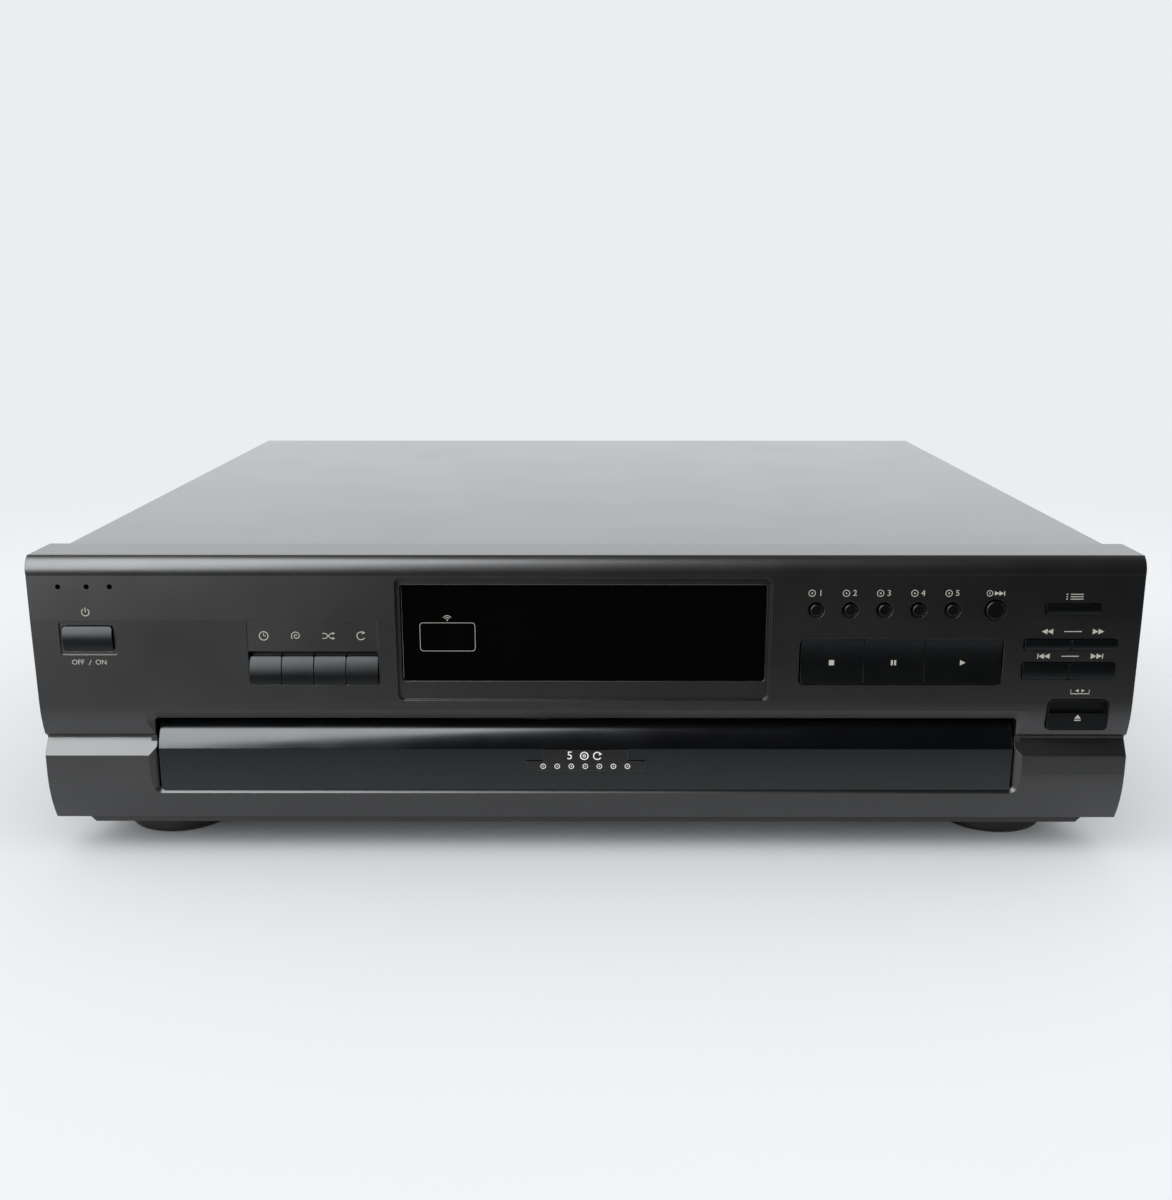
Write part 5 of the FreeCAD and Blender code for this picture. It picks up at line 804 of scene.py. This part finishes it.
def painted_window_glint():
    """Painted highlight: a light stroke along the window's top and left edges, for its polished edge."""
    x0, x1, z0, z1 = WINDOW_EDGE
    sheet = Print("painted_window_glint", "display_window", "case", "glint")
    sheet.stroke([(x0, z0), (x0, z1), (x1, z1)], GLINT_LINE)
    sheet.finish()


def pin_holes():
    """Painted shade: flat near-black discs for the shade inside small holes high on the panel."""
    sheet = Print("pin_holes", "front_panel", "case", "hole")
    for x, z in PIN_HOLES:
        sheet.dot(x, z, PIN_HOLE_R)
    sheet.finish()


def top_groove():
    """Painted shade: a dark line along the joint at the panel's top, for the shadow in its groove."""
    low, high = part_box("front_panel")
    x0, x1 = low.x / MM + TOP_GROOVE_END, high.x / MM - TOP_GROOVE_END
    y = FRONT_Y / MM + TOP_GROOVE_BACK
    half = TOP_GROOVE_WIDTH / 2
    sheet = Print("top_groove", "front_panel", "case", "groove", "top")
    sheet.poly([(x0, y), (x0 + half, y - half), (x1 - half, y - half), (x1, y),
                (x1 - half, y + half), (x0 + half, y + half)])
    sheet.finish(THIN_INK)


def pocket_numbers():
    """A number at the inner end of each of the carousel's pockets."""
    low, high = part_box("carousel")
    x, y = (low.x + high.x) / 2 / MM, (low.y + high.y) / 2 / MM
    sheet = Print("pocket_numbers", "carousel", "carousel", "print", "top")
    for i in range(DISCS):
        turn = math.radians(90 + 360 / DISCS * i)
        place = x + POCKET_DIGIT_R * math.cos(turn), y + POCKET_DIGIT_R * math.sin(turn)
        sheet.words(str(i + 1), *place, POCKET_DIGIT_SIZE)
    sheet.finish()


def wave_symbol(sheet, x, z, half=3.0, height=1.1, steps=20):
    """One period of a wave, the sign of alternating current."""
    turns = [i / steps for i in range(steps + 1)]
    points = [(x + half * (2 * t - 1), z + height * math.sin(2 * math.pi * t)) for t in turns]
    sheet.stroke(points, BOLD_LINE)


def rear_labels():
    """Left and right at the two jacks, and the kind of current at the inlet."""
    sheet = Print("rear_symbols", "rear_panel", "case", "print", "back")
    low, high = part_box("output_jacks")
    z = (low.z + high.z) / 2 / MM + JACK_LABEL_RISE
    for letter, x in (("R", high.x / MM - JACK_LABEL_IN), ("L", low.x / MM + JACK_LABEL_IN)):
        sheet.words(letter, -x, z, JACK_LETTER_SIZE)
    x, z = middle("ac_inlet")
    wave_symbol(sheet, -x, z + INLET_LABEL_RISE)
    sheet.finish()


def print_labels():
    for draw in (power_labels, mode_labels, disc_labels, search_and_skip_labels, program_label, open_labels,
                 transport_labels, badge_print, sensor_marks, painted_window_glint, pin_holes, top_groove,
                 pocket_numbers, rear_labels):
        draw()


# ---- Studio --------------------------------------------------------------------------------
FLOOR_HALF = 6.0                        # metres, as all the studio's sizes
FLOOR_CELLS = 12                        # along each side
FLOOR_PALE = colour(233, 234, 235)
STUDIO_PALE = colour(235, 237, 239)
LIGHT_TINT = (0.965, 0.98, 1.0, 1.0)
BACK_LEVEL, TOP_LEVEL, FRONT_LEVEL = 1.2, 0.35, 0.02
TOP_FADE = (0.3, 0.8)                   # how far up the backdrop dims
LIT_SIDE = (0.6, 1.0, 0.0)              # way to the lit part of the backdrop
SIDE_FADE = (-0.1, 0.25)                # how far to that side it becomes lit
EVEN_AXIS = (0.35, 1.0, 0.0)            # way in which the light on dull faces changes
EVEN_LEVELS = (1.65, 0.7)               # that light from the front left, and from behind
EVEN_FADE = (-0.6, 0.6)                 # how far along that axis the one becomes the other
DARK_FLOOR = (-0.39, -0.24)             # Y over which the floor in front comes out of the dark
FAR_FLOOR = (0.35, 0.95)                # distance over which the floor fades into the backdrop
SOFTBOX_PLACE = (-0.606, -0.912, 0.74)
SOFTBOX_TARGET = (0.0, -0.19, 0.08)
SOFTBOX_SIZE = (0.85, 1.6)
SOFTBOX_LEVEL = 8.5                     # brightness of the softbox's face, where 1 is white


def ray_is(tree, kind):
    return tree.nodes.new("ShaderNodeLightPath").outputs["Is %s Ray" % kind]


def studio_colour(tree, direction):
    """What is far off each way: a pale ground to the camera, even light to dull faces, and to
    glossy faces a backdrop that is lit behind the object and dark before it."""
    upward = vector_maths(tree, "DOT_PRODUCT", direction, (0.0, 0.0, 1.0))
    behind = vector_maths(tree, "DOT_PRODUCT", direction, LIT_SIDE)
    level = mapped(tree, upward, *TOP_FADE, BACK_LEVEL, TOP_LEVEL, True)
    level = mapped(tree, behind, *SIDE_FADE, FRONT_LEVEL, level, True)
    light = mixed(tree, level, BLACK, LIGHT_TINT)
    toward_back = vector_maths(tree, "DOT_PRODUCT", direction, EVEN_AXIS)
    even = mapped(tree, toward_back, *EVEN_FADE, *EVEN_LEVELS, True)
    light = mixed(tree, ray_is(tree, "Diffuse"), light, mixed(tree, even, BLACK, LIGHT_TINT))
    return mixed(tree, ray_is(tree, "Camera"), light, STUDIO_PALE)


def add_world():
    world = bpy.data.worlds.new("studio")
    SCENE.world = world
    world.use_nodes = True
    world.cycles.sampling_method = "NONE"   # or its light would reach every kind of ray alike
    tree = world.node_tree
    direction = tree.nodes.new("ShaderNodeTexCoord").outputs["Generated"]
    tree.links.new(studio_colour(tree, direction), tree.nodes["Background"].inputs["Color"])


def dark_in_front(tree, place, tint):
    """The paper's colour, black in front of the object to all but the camera."""
    axes = tree.nodes.new("ShaderNodeSeparateXYZ")
    tree.links.new(place, axes.inputs[0])
    lit = mapped(tree, axes.outputs["Y"], *DARK_FLOOR, FRONT_LEVEL, 1.0, True)
    lit = maths(tree, "MAXIMUM", lit, ray_is(tree, "Camera"))
    return mixed(tree, lit, BLACK, tint)


def fade_into_backdrop(tree, place, paper):
    """Turns the paper, far off, into the backdrop as it looks that way."""
    far = tree.nodes.new("ShaderNodeEmission")
    tree.links.new(studio_colour(tree, unit(tree, place)), far.inputs["Color"])
    away = vector_maths(tree, "DISTANCE", place, (0.0, 0.0, 0.0))
    blend = tree.nodes.new("ShaderNodeMixShader")
    tree.links.new(mapped(tree, away, *FAR_FLOOR, smooth=True), blend.inputs["Fac"])
    tree.links.new(paper.outputs["BSDF"], blend.inputs[1])
    tree.links.new(far.outputs["Emission"], blend.inputs[2])
    tree.links.new(blend.outputs["Shader"], tree.nodes["Material Output"].inputs["Surface"])


def floor_paper():
    """Pale paper that fades into the backdrop far off. In front, only the camera sees it pale."""
    finish = Finish("floor_paper", FLOOR_PALE, 0.85, specular=0.1).mottle(0.006, 400.0)
    finish.uneven_gloss(0.03, 200.0).grain(0.02, 3.0)
    tree = finish.tree
    place = tree.nodes.new("ShaderNodeNewGeometry").outputs["Position"]
    finish.tint = dark_in_front(tree, place, finish.tint)
    material = finish.done()
    fade_into_backdrop(tree, place, finish.shader)
    return material


def add_floor():
    bm = bmesh.new()
    bmesh.ops.create_grid(bm, x_segments=FLOOR_CELLS, y_segments=FLOOR_CELLS, size=FLOOR_HALF)
    mesh = bpy.data.meshes.new("floor")
    bm.to_mesh(mesh)
    bm.free()
    mesh.materials.append(floor_paper())
    floor = bpy.data.objects.new("floor", mesh)
    SCENE.collection.objects.link(floor)


def add_softbox():
    """A broad lamp at the front left that shows only in glossy faces."""
    data = bpy.data.lights.new("softbox", "AREA")
    data.shape = "RECTANGLE"
    data.size, data.size_y = SOFTBOX_SIZE
    data.energy = SOFTBOX_LEVEL * math.pi * data.size * data.size_y
    data.color = LIGHT_TINT[:3]
    light = bpy.data.objects.new("softbox", data)
    light.location = SOFTBOX_PLACE
    aim = Vector(SOFTBOX_TARGET) - Vector(SOFTBOX_PLACE)
    light.rotation_euler = aim.to_track_quat("-Z", "Y").to_euler()
    light.visible_camera = False
    light.visible_diffuse = False
    SCENE.collection.objects.link(light)


SCENE.view_settings.view_transform = "Standard"
add_camera()
add_world()
add_floor()
add_softbox()
MATERIALS = make_materials()
dress_nodes(MATERIALS)
print_labels()
